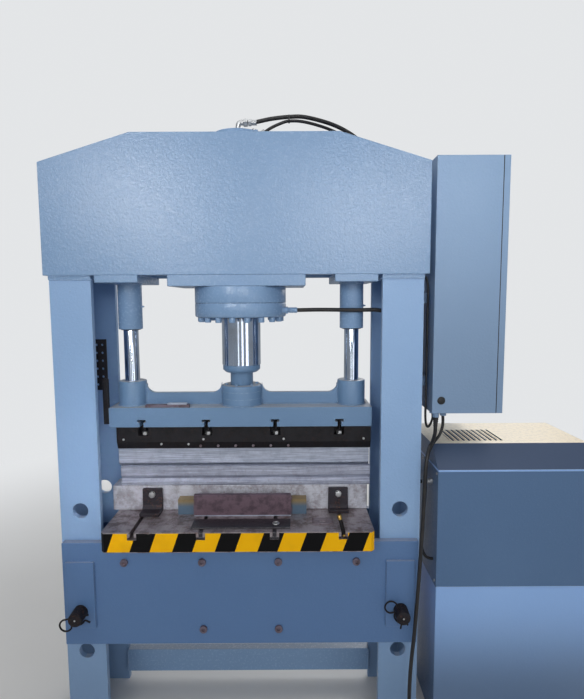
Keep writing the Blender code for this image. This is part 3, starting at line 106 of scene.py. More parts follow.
def make_light(name, at, towards, size, level, spread=180):
    """A soft panel; level is the brightness it alone gives a white card that faces it where it looks.

    A spread below 180 degrees narrows its beam. Blender makes a narrowed beam brighter by tan(a) / (tan(a) -
    a), where a is half the spread, so the energy is cut by as much.
    """
    at, towards = np.array(at, float), np.array(towards, float)
    data = bpy.data.lights.new(name, "AREA")
    data.shape = "RECTANGLE"
    data.size, data.size_y = size
    data.energy = level * (math.pi * np.linalg.norm(at - towards)) ** 2
    if spread < 180:
        half = math.radians(spread / 2)
        data.spread = 2 * half
        data.energy *= 1 - half / math.tan(half)
    look = (towards - at) / np.linalg.norm(towards - at)
    across = np.cross(look, (0, 0, 1) if abs(look[2]) < 0.9 else (0, 1, 0))
    across /= np.linalg.norm(across)
    stand(name, data, at, across, np.cross(across, look), -look)


def add(tree, kind, settings=(), inputs=(), out=None):
    """Adds one shader node with its settings, and its inputs set to values or linked to other nodes' outputs.

    Returns the output that is named, or else the first one in use.
    """
    node = tree.nodes.new("ShaderNode" + kind)
    for key, value in dict(settings).items():
        setattr(node, key, value)
    for key, value in dict(inputs).items():
        if isinstance(value, bpy.types.NodeSocket):
            tree.links.new(value, node.inputs[key])
        else:
            node.inputs[key].default_value = value
    return node.outputs[out] if out else next((socket for socket in node.outputs if socket.enabled), None)


def paint(code):
    """Turns an sRGB hex colour to the linear values that shaders take."""
    c = np.array([int(code[i : i + 2], 16) for i in (0, 2, 4)]) / 255
    return (*np.where(c <= 0.04045, c / 12.92, ((c + 0.055) / 1.055) ** 2.4).tolist(), 1.0)


def make_surroundings():
    """Pale studio: a plain world that lights softly, soft panels, and a wide floor that fades into it."""
    world = bpy.data.worlds.new("studio")
    world.use_nodes = True
    tree = world.node_tree
    tree.nodes.clear()
    rays = add(tree, "LightPath").node.outputs
    seen = add(
        tree, "Math", {"operation": "MAXIMUM"}, {0: rays["Is Camera Ray"], 1: rays["Is Transmission Ray"]},
    )
    soft, gloss, shown = (
        add(tree, "Background", (), {"Color": paint(code), "Strength": level})
        for code, level in (("f1f3f6", 0.345), ("cfd5dc", 0.40), (PALE, PALE_LEVEL))
    )
    either = add(tree, "MixShader", (), {0: rays["Is Glossy Ray"], 1: soft, 2: gloss})
    add(tree, "OutputWorld", (), {"Surface": add(tree, "MixShader", (), {0: seen, 1: either, 2: shown})})
    bpy.context.scene.world = world
    bpy.context.scene.view_settings.view_transform = "Standard"

    middle = (-0.10, -0.26, 1.95)
    ram_front = (-0.35, -0.12, 1.5)
    make_light("ceiling_panel", (-0.2, -0.8, 4.4), (0.0, 0.0, 1.6), (3.4, 2.4), 0.34)
    make_light("front_left_panel", (-1.9, -2.9, 3.5), (-0.2, -0.1, 1.9), (1.8, 1.8), 0.08)
    make_light("left_window", (-2.13, -5.0, 3.15), middle, (1.35, 0.75), 0.18, 60)
    make_light("low_left_window", (-1.67, -5.0, 2.44), middle, (0.72, 0.58), 0.06, 64)
    make_light("right_window", (0.72, -5.0, 2.90), middle, (1.8, 1.2), 0.25, 60)
    make_light("doorway", (0.85, -4.6, 1.95), (-0.96, 0.0, 1.05), (0.4, 0.5), 0.40, 11)
    make_light("hall_door", (0.70, -5.0, 1.15), ram_front, (0.8, 1.5), 0.030)
    make_light("side_door", (3.30, -4.6, 1.30), ram_front, (1.4, 1.8), 0.045)
    make_light("left_door", (-1.35, -5.0, 1.15), ram_front, (0.5, 1.5), 0.014)
    make_light("cabinet_window", (2.25, -5.0, 3.45), (0.55, -0.24, 2.20), (0.9, 0.4), 0.07, 20)
    make_light("back_panel", (1.8, 3.6, 3.2), (0.0, 0.0, 1.3), (2.4, 2.4), 0.22)
    make_light("roof_window", (1.3, 2.2, 3.6), (0.85, 0.0, 1.18), (0.9, 0.9), 0.40, 44)

    reach, lines, sunk = 9, 10, 0.0005
    x, y = np.meshgrid(*[np.linspace(-reach, reach, lines)] * 2)
    corners = np.stack((x, y, np.full_like(x, -sunk)), -1).reshape(-1, 3)
    index = np.arange(lines * lines).reshape(lines, lines)
    quads = np.stack((index[:-1, :-1], index[:-1, 1:], index[1:, 1:], index[1:, :-1]), -1).reshape(-1, 4)
    mesh = bpy.data.meshes.new("floor")
    mesh.from_pydata(corners.tolist(), [], quads.tolist())
    floor = bpy.data.objects.new("floor", mesh)
    bpy.context.scene.collection.objects.link(floor)
    concrete, tree, place = begin("pale_concrete_floor")
    cloud = add(tree, "TexNoise", (), {"Vector": place, "Scale": 1.3, "Detail": 5})
    tone = coat(tree, "e2e1de", "ecebe9", cloud)
    body = add(tree, "BsdfPrincipled", (), {"Base Color": tone, "Roughness": 0.75})
    away = add(tree, "VectorMath", {"operation": "LENGTH"}, {0: place})
    fade = share(tree, (away, 1.2, 4.6), add(tree, "LightPath", out="Is Camera Ray"))
    pale = add(tree, "Emission", (), {"Color": paint(PALE), "Strength": PALE_LEVEL})
    whole = add(tree, "MixShader", (), {0: fade, 1: body, 2: pale})
    add(tree, "OutputMaterial", (), {"Surface": whole})
    mesh.materials.append(concrete)


# Finishes


def begin(name):
    """A new material with only its object coordinates; returns it, its tree and those coordinates."""
    material = bpy.data.materials.new(name)
    material.use_nodes = True
    tree = material.node_tree
    tree.nodes.clear()
    return material, tree, add(tree, "TexCoord", out="Object")


def surface(material, inputs):
    """Ends a material with its surface, whose inputs are given, and returns it."""
    body = add(material.node_tree, "BsdfPrincipled", (), inputs)
    add(material.node_tree, "OutputMaterial", (), {"Surface": body})
    return material


def share(tree, *terms):
    """Product of its terms: numbers, nodes' outputs, or values carried smoothly from one range to another.

    Such a value is a tuple: the value, its low and its high, and what they become, 0 and 1 unless given. It
    is held at both ends.
    """
    whole = None
    for term in terms:
        if isinstance(term, tuple):
            term = add(tree, "MapRange", {"interpolation_type": "SMOOTHSTEP"}, dict(enumerate(term)))
        whole = term if whole is None else add(tree, "Math", {"operation": "MULTIPLY"}, {0: whole, 1: term})
    return whole


def coat(tree, under, over, *terms):
    """Covers one colour with another by its terms' product; colours are hex codes or nodes' outputs."""
    under, over = (paint(tone) if isinstance(tone, str) else tone for tone in (under, over))
    return add(tree, "Mix", {"data_type": "RGBA"}, {0: share(tree, *terms), 6: under, 7: over})


def enamel(
    name, shade, bloom_and_sheen, worn, patches=0.3, gloss=0.30, dust=0.0, film="cfc6b8", rust=0.0, painted_shade=0.0,
    shade_heights=(0.75, 0.05), slope_shade=0.0,
):
    """Oil-modified enamel sprayed on mill plate.

    It gives a half-gloss colour that chalks a little in clouds 400 mm wide, clouds that also paint a
    soft sheen, orange peel of 6 mm that breaks up what it mirrors, mill-scale waves of 10 mm under it, rubbed
    edges, fine dirt of 16 mm and specks of 4 mm, a film of dust on faces that look up, which on the cover
    also paints a highlight, and, where asked, rust, painted shade on faces that lean back, and painted shade
    that deepens downwards between two heights, over the last 700 mm above the floor as a rule.
    """
    material, tree, place = begin(name)
    edge = add(tree, "Bevel", {"samples": 4}, {"Radius": 0.0022})
    true = add(tree, "NewGeometry", out="True Normal")
    sharp = add(tree, "VectorMath", {"operation": "DOT_PRODUCT"}, {0: edge, 1: true})
    up = add(tree, "SeparateXYZ", (), {0: true}, "Z")
    height = add(tree, "SeparateXYZ", (), {0: place}, "Z")
    cloud, fine, speck, peel, waves = (
        add(tree, "TexNoise", (), {"Vector": place, "Scale": scale, "Detail": detail, "Roughness": rough})
        for scale, detail, rough in ((2.5, 4, 0.5), (62, 5, 0.7), (260, 2, 0.5), (160, 2, 0.5), (105, 5, 0.6))
    )
    tone = paint(shade)
    for colour, strength, *terms in (
        # Lighter clouds: part chalky bloom, part a painted sheen
        (bloom_and_sheen, patches, (cloud, 0.44, 0.66), (fine, 0.25, 0.75, 0.55, 1.0)),
        (worn, 0.28, (speck, 0.66, 0.76)),
        (worn, 1.0, (sharp, 0.995, 0.86), (fine, 0.42, 0.62, 0.12, 0.85)),
        ("6b4a3a", rust, (fine, 0.64, 0.74)),
        # Painted shade: a darker tone on faces that lean back
        ("434454", slope_shade, (up, 0.35, 0.60)),
        # Dust on faces that look up; on the cover it also paints a highlight on the top
        (film, dust, (up, 0.88, 0.97), (fine, 0.3, 0.6, 0.8, 1.0)),
        # Painted shade: darker towards the bottom, between the two heights given
        ("44566c", painted_shade, (height, *shade_heights)),
    ):
        if strength:
            tone = coat(tree, tone, colour, *terms, strength)
    low = add(tree, "Bump", (), {"Strength": 0.60, "Distance": 0.0014, "Height": waves, "Normal": edge})
    high = add(tree, "Bump", (), {"Strength": 0.34, "Distance": 0.0006, "Height": peel, "Normal": low})
    rough = share(tree, (waves, 0.35, 0.65, gloss, gloss + 0.10))
    return surface(material, {"Base Color": tone, "Roughness": rough, "Normal": high, "IOR": 1.5})


def bare_steel(
    name, shade, stain, gloss, grain=(1.0, 90.0, 90.0), marks=0.5, rust=0.0, metal=0.9, drawn=0.22
):
    """Machined or rolled steel left bare.

    It gives a metal sheen drawn out along the grain, stains 45 mm wide, and freckles of rust 8 mm wide where
    asked.
    """
    material, tree, place = begin(name)
    edge = add(tree, "Bevel", {"samples": 4}, {"Radius": 0.0012})
    stretch = add(tree, "Mapping", (), {"Vector": place, "Scale": grain})
    lines, cloud, freckle = (
        add(tree, "TexNoise", (), {"Vector": at, "Scale": scale, "Detail": detail, "Roughness": rough})
        for at, scale, detail, rough in ((stretch, 9, 4, 0.7), (place, 22, 6, 0.65), (place, 120, 4, 0.75))
    )
    tone = coat(tree, shade, stain, (cloud, 0.42, 0.66), marks)
    tone = coat(tree, tone, stain, (lines, 0.35, 0.65, 0.0, drawn))
    if rust:
        rusted = share(tree, (freckle, 0.50, 0.66), (cloud, 0.35, 0.6), rust)
        tone = coat(tree, tone, "7a4a33", rusted)
        metal = share(tree, (rusted, 0.0, 0.8, metal, 0.1))
    low = add(tree, "Bump", (), {"Strength": 0.25, "Distance": 0.0004, "Height": lines, "Normal": edge})
    high = add(tree, "Bump", (), {"Strength": 0.20, "Distance": 0.0005, "Height": freckle, "Normal": low})
    rough = share(tree, (cloud, 0.3, 0.7, gloss, gloss + 0.18))
    return surface(material, {"Base Color": tone, "Roughness": rough, "Normal": high, "Metallic": metal})


def tempered_steel():
    """Flame-cut block: purple-brown scale, its ends tempered blue and, towards the top, straw."""
    material, tree, place = begin("flame_cut_block_scale")
    ends_from, ends_to = 0.206, 0.218
    straw_from, straw_to = 0.925, 0.955
    x = add(tree, "SeparateXYZ", (), {0: place}, "X")
    height = add(tree, "SeparateXYZ", (), {0: place}, "Z")
    fine, cloud = (
        add(tree, "TexNoise", (), {"Vector": place, "Scale": scale, "Detail": 5, "Roughness": rough})
        for scale, rough in ((110, 0.7), (30, 0.6))
    )
    middle = add(tree, "Math", {"operation": "ADD"}, {0: x, 1: -HOME[0] - BLOCK_X})
    away = add(tree, "Math", {"operation": "ABSOLUTE"}, {0: middle})
    away = add(tree, "Math", {"operation": "MULTIPLY_ADD"}, {0: cloud, 1: 0.02, 2: away})
    scale_tone = coat(tree, "705c68", "54454f", (cloud, 0.4, 0.65))
    temper = coat(tree, "586f84", "8d7b58", (height, straw_from, straw_to))
    tone = coat(tree, scale_tone, temper, (away, ends_from, ends_to))
    rough = share(tree, (fine, 0.3, 0.7, 0.42, 0.6))
    bump = add(tree, "Bump", (), {"Strength": 0.3, "Distance": 0.0006, "Height": fine})
    return surface(material, {"Base Color": tone, "Roughness": rough, "Normal": bump, "Metallic": 0.35})


def hard_chrome():
    """Hard chrome on ground rod: a mirror with faint grinding rings 1 mm apart and a thin oil film."""
    material, tree, place = begin("hard_chrome_ground")
    stretch = add(tree, "Mapping", (), {"Vector": place, "Scale": (0.02, 0.02, 1.0)})
    rings = add(tree, "TexNoise", (), {"Vector": stretch, "Scale": 900, "Detail": 2})
    film = add(tree, "TexNoise", (), {"Vector": place, "Scale": 14, "Detail": 5})
    # The blue tint of the base colour is a painted reflection of the blue paint round the rod
    tone = coat(tree, "d6e2f4", "c2cad6", (film, 0.35, 0.7))
    bump = add(tree, "Bump", (), {"Strength": 0.05, "Distance": 0.0002, "Height": rings})
    rough = share(tree, (film, 0.3, 0.7, 0.07, 0.16))
    return surface(material, {"Base Color": tone, "Roughness": rough, "Normal": bump, "Metallic": 1.0})


def moulded(name, shade, dusted, gloss, grain, depth, dust=0.25):
    """Moulded rubber or plastic: an even body, a fine grain, and dust in patches 40 mm wide."""
    material, tree, place = begin(name)
    cloud = add(tree, "TexNoise", (), {"Vector": place, "Scale": 25, "Detail": 5, "Roughness": 0.6})
    nap = add(tree, "TexNoise", (), {"Vector": place, "Scale": grain, "Detail": 2})
    tone = coat(tree, shade, dusted, (cloud, 0.4, 0.7), dust)
    bump = add(tree, "Bump", (), {"Strength": 0.3, "Distance": depth, "Height": nap})
    rough = share(tree, (cloud, 0.3, 0.7, gloss, gloss + 0.15))
    return surface(material, {"Base Color": tone, "Roughness": rough, "Normal": bump, "IOR": 1.5})


def hazard_tape():
    """Printed vinyl tape, yellow and black bars 86 and 77 mm wide that lean right.

    It gives a low gloss, scuffs and dirty patches. A point's place in the pattern is (x - slope * z) /
    pitch.
    """
    material, tree, place = begin("hazard_tape_printed_vinyl")
    pitch, slope, yellow_share = 0.1632, 0.357, 0.528
    # A yellow bar starts at this x and height; ten pitches more keep the count above nought
    bar_x, bar_z = -0.5001, 0.8206
    start = 10 * pitch - HOME[0] - bar_x + slope * bar_z
    x = add(tree, "SeparateXYZ", (), {0: place}, "X")
    height = add(tree, "SeparateXYZ", (), {0: place}, "Z")
    lean = add(tree, "Math", {"operation": "MULTIPLY_ADD"}, {0: height, 1: -slope, 2: x})
    run = add(tree, "Math", {"operation": "ADD"}, {0: lean, 1: start})
    count = add(tree, "Math", {"operation": "DIVIDE"}, {0: run, 1: pitch})
    part = add(tree, "Math", {"operation": "FRACT"}, {0: count})
    yellow = add(tree, "Math", {"operation": "LESS_THAN"}, {0: part, 1: yellow_share})
    fine = add(tree, "TexNoise", (), {"Vector": place, "Scale": 90, "Detail": 5, "Roughness": 0.75})
    cloud = add(tree, "TexNoise", (), {"Vector": place, "Scale": 12, "Detail": 4})
    bright = coat(tree, "f0b406", "bf8814", (cloud, 0.45, 0.7), 0.22)
    ink = coat(tree, "0b0b0d", bright, yellow)
    ink = coat(tree, ink, "3c352c", (fine, 0.68, 0.76), 0.35)
    bump = add(tree, "Bump", (), {"Strength": 0.15, "Distance": 0.0004, "Height": fine})
    rough = share(tree, (cloud, 0.3, 0.7, 0.38, 0.55))
    return surface(
        material, {"Base Color": ink, "Roughness": rough, "Normal": bump, "Specular IOR Level": 0.12}
    )


FRAME = enamel("half_gloss_enamel_frame", "7d9cc0", "8da6c6", "b3c0d2", patches=0.2, gloss=0.19, dust=0.35)
# The frame's enamel made lighter to paint the light on the columns, with painted shade towards their feet
LIT_COLUMN_ENAMEL = enamel(
    "half_gloss_enamel_columns_lit", "8bacd4", "97b6da", "bccbe0", patches=0.3, gloss=0.32, dust=0.3, rust=0.2,
    painted_shade=0.38,
)
# The same enamel made darker to paint the shade on the ram
SHADED_RAM_ENAMEL = enamel("half_gloss_enamel_ram_shaded", "6585a8", "7594b6", "a9b8ca", patches=0.3, gloss=0.32, dust=0.5)
# The same enamel made darker to paint the shade on the bed
SHADED_BED_ENAMEL = enamel(
    "half_gloss_enamel_bed_shaded", "5576a3", "6082ac", "8496b0", patches=0.3, gloss=0.36, dust=0.3, rust=0.2,
)
# Painted shade: the cabinet grows darker from 2.25 m down to 1.50 m
CABINET = enamel(
    "powder_coat_cabinet", "8aa8cb", "96b2d3", "b6c4d4", patches=0.3, gloss=0.34, dust=0.4, painted_shade=0.34,
    shade_heights=(2.25, 1.50),
)
# Its top's pale film is dust and also a painted highlight; its slopes get painted shade
COVER = enamel(
    "half_gloss_enamel_cover", "506f95", "5a799f", "8094b0", patches=0.3, gloss=0.36, dust=1.0, film="fbeacb",
    slope_shade=0.6,
)
# Painted shadow: the tank grows darker from 0.58 m down to 0.12 m
TANK = enamel(
    "half_gloss_enamel_tank", "90b6ea", "9abdec", "a8b8d4", patches=0.3, gloss=0.36, dust=0.3, painted_shade=0.75,
    shade_heights=(0.58, 0.12),
)
CHROME = hard_chrome()
GROUND = bare_steel("ground_tool_steel", "c8d0e0", "8a91a6", 0.36, (0.6, 24.0, 24.0), 0.35, 0.10, 0.40, 0.75)
DIE = bare_steel("planed_die_steel", "c0c6d8", "7f8498", 0.34, (0.6, 24.0, 24.0), 0.35, 0.22, 0.45, 0.75)
BASE = bare_steel("scaled_base_steel", "cfd2dc", "8b8690", 0.50, (2.0, 30.0, 30.0), 0.7, 0.35, 0.35)
TABLE = bare_steel("oiled_table_steel", "b0a8ac", "675d5f", 0.36, (40.0, 1.0, 40.0), 0.8, 0.55, 0.75)
SCALE = bare_steel("mill_scale_steel", "756c7a", "4c4148", 0.46, (4.0, 30.0, 30.0), 0.8, 0.6, 0.45)
CLAMP = bare_steel("scaled_clamp_steel", "312e37", "1d1b20", 0.44, (8.0, 8.0, 8.0), 0.7, 0.5, 0.35)
TEMPER = tempered_steel()
RUBBED = enamel("oil_blackened_steel", "211f26", "37323a", "b4b3b8", patches=0.5, gloss=0.34, rust=0.5)
BLACK = bare_steel("black_oxide_steel", "100f17", "08070c", 0.50, (8.0, 8.0, 8.0), 0.7, 0.10, 0.3)
PIN = bare_steel("worn_pin_steel", "26242a", "161419", 0.42, (60.0, 1.0, 60.0), 0.8, 0.25, 0.5)
ZINC = bare_steel("zinc_plated_steel", "d2d4d6", "a6a6a4", 0.30, (20.0, 20.0, 20.0), 0.5, 0.0, 0.95)
RUSTY = bare_steel("rusted_fastener_steel", "8f868e", "5f5056", 0.46, (20.0, 20.0, 20.0), 0.8, 0.5, 0.6)
BRASS = bare_steel("turned_brass", "c8a45a", "9c7a3c", 0.28, (20.0, 20.0, 20.0), 0.5, 0.0, 1.0)
HOSE = moulded("hose_rubber_cloth_marked", "1d1d20", "3b3833", 0.48, 700, 0.0004, 0.5)
SHEATH = moulded("cable_sheath_pvc", "17171a", "34322f", 0.36, 500, 0.0002, 0.4)
PLUG = moulded("plug_nylon_moulded", "16171a", "3a3835", 0.42, 900, 0.0002, 0.3)
GASKET = moulded("sealing_rubber_foam", "232326", "2e2d2c", 0.7, 1500, 0.0003, 0.2)
DUCT = moulded("wiring_duct_pvc", "8f9498", "a3a6a6", 0.5, 500, 0.0001, 0.3)
DEVICE = moulded("device_case_polycarbonate", "cfd0cb", "b7b6ae", 0.42, 700, 0.0001, 0.3)
MOTOR = enamel("cast_motor_enamel", "555c62", "666d72", "8a8f92", patches=0.5, gloss=0.48, dust=0.4)
TAPE = hazard_tape()


# Shapes


def direction(axis):
    """Unit axis and two directions square to it."""
    axis = np.array(axis, float) / np.linalg.norm(axis)
    lean = np.eye(3)[np.abs(axis).argmin()]
    u = np.cross(lean, axis)
    u /= np.linalg.norm(u)
    return axis, u, np.cross(axis, u)


def turned(at, axis, profile, sides=64):
    """Profile (distance, height) turned round an axis: at + height * axis + distance * (cos t u + sin t v).

    The profile starts and ends on the axis, or closes on itself.
    """
    axis, u, v = direction(axis)
    t = np.arange(sides) * TAU / sides
    distance, height = np.asarray(profile, float).T
    ring = np.cos(t)[:, None] * u + np.sin(t)[:, None] * v
    return np.asarray(at, float) + height[:, None, None] * axis + distance[:, None, None] * ring


def hexagon(at, axis, across, height, turn=0.0):
    """Hexagon head, cut at its top by a cone of 30 degrees.

    distance(t) = half across / cos(t folded into 30 degrees either way), and no more than the cone's.
    """
    axis, u, v = direction(axis)
    sides = 48
    t = np.arange(sides) * TAU / sides
    folded = (t + math.pi / 6) % (math.pi / 3) - math.pi / 6
    flat = across / 2 / np.cos(folded)
    level = np.array((0.0, 0.5, 0.72, 0.80, 0.88, 0.94, 1.0))
    cone = across * 0.475 + (1 - level) * height * 1.73
    middle = np.zeros(sides)
    rim = np.vstack((middle, np.minimum(flat, cone[:, None]), middle))
    level = np.r_[0.0, level, 1.0]
    ring = np.cos(t + turn)[:, None] * u + np.sin(t + turn)[:, None] * v
    return np.asarray(at, float) + (level * height)[:, None, None] * axis + rim[:, :, None] * ring


def bar(low, high, radius=0.0015, axis=None):
    """Rounded rectangle carried along one axis of a box, drawn in at both ends on a quarter circle, closed.

    point = corner centre + (radius - inset) * (cos t, sin t), with inset = radius * (1 - sin a) and
    rise = radius * (1 - cos a).
    """
    low, high = np.asarray(low, float), np.asarray(high, float)
    half = (high - low) / 2
    axis = int(half.argmax()) if axis is None else axis
    u, v = ((1, 2), (2, 0), (0, 1))[axis]
    radius = min(radius, 0.98 * half.min())
    a = np.linspace(0, math.pi / 2, 3)
    reach = np.r_[0.0, radius * np.sin(a), radius * np.sin(a[::-1]), 0.0]
    rise = radius * (1 - np.cos(a))
    run = np.r_[0.0, rise, 2 * half[axis] - rise[::-1], 2 * half[axis]]
    t = (np.repeat(np.arange(4), 3) + np.tile((0.0, 0.5, 1.0), 4)) * math.pi / 2
    corner = np.repeat(((1, 1), (-1, 1), (-1, -1), (1, -1)), 3, axis=0)
    grid = np.zeros((len(run), 12, 3))
    held = np.where(np.arange(len(run)) % (len(run) - 1) == 0, 0.0, 1.0)[:, None]
    grid[:, :, axis] = low[axis] + run[:, None]
    grid[:, :, u] = low[u] + half[u] + held * (half[u] - radius) * corner[:, 0] + reach[:, None] * np.cos(t)
    grid[:, :, v] = low[v] + half[v] + held * (half[v] - radius) * corner[:, 1] + reach[:, None] * np.sin(t)
    return grid


def smooth(points, spacing):
    """Catmull and Rom's curve through the points, then places at even spacing along its length."""
    p = np.asarray(points, float)
    p = np.vstack((2 * p[0] - p[1], p, 2 * p[-1] - p[-2]))
    t = np.linspace(0, 1, 40, endpoint=False)[None, :, None]
    a, b, c, d = (p[i : len(p) - 3 + i, None] for i in range(4))
    fine = 0.5 * (2 * b + (c - a) * t + (2 * a - 5 * b + 4 * c - d) * t**2 + (3 * b - a - 3 * c + d) * t**3)
    fine = np.vstack((fine.reshape(-1, 3), p[-2]))
    run = np.r_[0.0, np.cumsum(np.linalg.norm(np.diff(fine, axis=0), axis=1))]
    at = np.linspace(0, run[-1], max(2, round(run[-1] / spacing)) + 1)
    return np.stack([np.interp(at, run, fine[:, i]) for i in range(3)], -1)


LEANS = np.array(
    [(1, 0, 0), (0, 1, 0), (0, 0, 1), (1, 1, 1), (1, 1, -1), (1, -1, 1), (-1, 1, 1), (1, 2, 3), (3, 1, 2)],
    float,
)
LEANS /= np.linalg.norm(LEANS, axis=1, keepdims=True)


def capped(first, grid, last):
    """Closes both ends of a grid, each with the one point given."""
    shape = (1, grid.shape[1], 3)
    return np.concatenate((np.broadcast_to(first, shape), grid, np.broadcast_to(last, shape)))


def carried(path, outline, sizes=None):
    """Outline (n, 2) carried along a path: path + size * (x * side + y * up), both square to the path.

    side and up come from the fixed direction that lies furthest from every stretch of the path; both ends
    close.
    """
    path = np.asarray(path, float)
    along = np.gradient(path, axis=0)
    along /= np.linalg.norm(along, axis=1, keepdims=True)
    lean = LEANS[np.abs(along @ LEANS.T).max(0).argmin()]
    side = np.cross(along, lean)
    side /= np.linalg.norm(side, axis=1, keepdims=True)
    up = np.cross(side, along)
    sizes = np.ones(len(path)) if sizes is None else np.asarray(sizes)
    outline = np.asarray(outline, float)
    ring = outline[None, :, :1] * side[:, None] + outline[None, :, 1:] * up[:, None]
    grid = path[:, None] + sizes[:, None, None] * ring
    return capped(path[0], grid, path[-1])


def circle(radius, sides=14):
    """Points of a circle."""
    t = np.arange(sides) * TAU / sides
    return radius * np.stack((np.cos(t), np.sin(t)), -1)


def rectangle(wide, high):
    """Corners of a rectangle, from its half width and half height."""
    return np.array(((-wide, -high), (wide, -high), (wide, high), (-wide, high)))


def bead(points, radius, seed, spacing=0.0032):
    """Weld bead: a small circle carried along a seam, its size rippled by a sine and jittered a little."""
    path = smooth(points, spacing)
    rng = np.random.default_rng(seed)
    path[1:-1] += rng.normal(0, radius * 0.06, (len(path) - 2, 3))
    run = np.arange(len(path))
    sizes = 1 + 0.11 * np.sin(run * TAU / 2.7) + rng.normal(0, 0.05, len(path))
    sizes[[0, -1]] = 0.55
    return carried(path, circle(radius, 8), sizes)


def screw(at, axis, radius, height):
    """Cap screw with a socket: rounded rim, flat face, and a hexagon-sized hole as deep as half its head."""
    r, h = radius, height
    key = 0.42 * r
    profile = [
        (0, 0), (0.97 * r, 0), (r, 0.04 * h), (r, 0.85 * h), (0.95 * r, 0.95 * h), (0.85 * r, h),
        (key * 1.1, h), (key, 0.96 * h), (key, 0.45 * h), (0, 0.40 * h),
    ]
    return turned(at, axis, profile, 28)


def nut(at, axis, across, height, turn):
    """A hexagon nut on a washer."""
    thick = 0.12 * height + 0.001
    r = across * 0.56
    washer = turned(at, axis, [(0, 0), (r, 0), (r, thick * 0.8), (r - 0.0006, thick), (0, thick)], 28)
    return [washer, hexagon(np.array(at) + np.array(axis) * thick, axis, across, height, turn)]


def piece(name, grids, body, finish, hides=()):
    """One object from grids of points, with body and finish; it hides the nodes named.

    Each grid joins its rows to squares and its last column to its first, and each end row is one point.
    """
    corners, squares, start = [], [], 0
    for grid in grids:
        rows, columns = grid.shape[:2]
        index = start + np.arange(rows * columns).reshape(rows, columns)
        near, far = index[:-1], index[1:]
        squares.append(np.stack((near, np.roll(near, -1, 1), np.roll(far, -1, 1), far), -1).reshape(-1, 4))
        corners.append(grid.reshape(-1, 3))
        start += rows * columns
    mesh = bpy.data.meshes.new(name)
    mesh.from_pydata((np.concatenate(corners) + HOME).tolist(), [], np.concatenate(squares).tolist())
    work = bmesh.new()
    work.from_mesh(mesh)
    bmesh.ops.remove_doubles(work, verts=work.verts, dist=2e-6)
    bmesh.ops.dissolve_degenerate(work, dist=1e-6, edges=work.edges)
    bmesh.ops.recalc_face_normals(work, faces=work.faces)
    work.to_mesh(mesh)
    work.free()
    mesh.polygons.foreach_set("use_smooth", np.ones(len(mesh.polygons), bool))
    mesh.set_sharp_from_angle(angle=SHARP)
    mesh.materials.append(finish)
    made = bpy.data.objects.new(name, mesh)
    bpy.context.scene.collection.objects.link(made)
    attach(made, body)
    if hides:
        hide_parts(*hides)
    return made


# Cords first

COIL = np.array((0.600, -0.255, 0.0))
SUPPLY_R = 0.0075
SUPPLY_DROP = [
    (0.792, 0.046, 1.3017),
    (0.792, 0.046, 1.266),
    (0.785, 0.028, 1.236),
    (0.765, -0.008, 1.212),
    (0.742, -0.045, 1.195),
    (0.724, -0.068, 1.120),
    (0.719, -0.070, 0.958),
    (0.714, -0.070, 0.840),
    (0.7065, -0.070, 0.680),
    (0.694, -0.071, 0.475),
    (0.680, -0.073, 0.309),
    (0.675, -0.078, 0.180),
    (0.676, -0.092, 0.090),
    (0.682, -0.122, 0.030),
    (0.689, -0.165, 0.0085),
]
SUPPLY_TAIL = [
    (0.5462, -0.345, 0.0105),
    (0.515, -0.346, 0.0092),
    (0.470, -0.348, 0.0180),
    (0.425, -0.350, 0.0305),
    (0.397, -0.350, 0.0320),
    (0.3753, -0.350, 0.0320),
]


def coil_points():
    """Turns of the coil, clockwise: outer turn, inner turn, then on top of both and out at the front.

    Angle, radius and height are each worked out as a smooth function of the run: two turns and a quarter.
    """
    turn = np.linspace(8, -812, 34)
    radius = np.interp(
        turn, (-812, -770, -680, -640, -330, -285, 8),
        (0.0915, 0.0865, 0.0825, 0.0752, 0.0752, 0.0903, 0.0903),
    )
    height = np.interp(turn, (-812, -760, -690, -640, 8), (0.0238, 0.0216, 0.0206, 0.0079, 0.0079))
    a = np.radians(turn)
    return np.stack((COIL[0] + radius * np.cos(a), COIL[1] + radius * np.sin(a), height), -1)


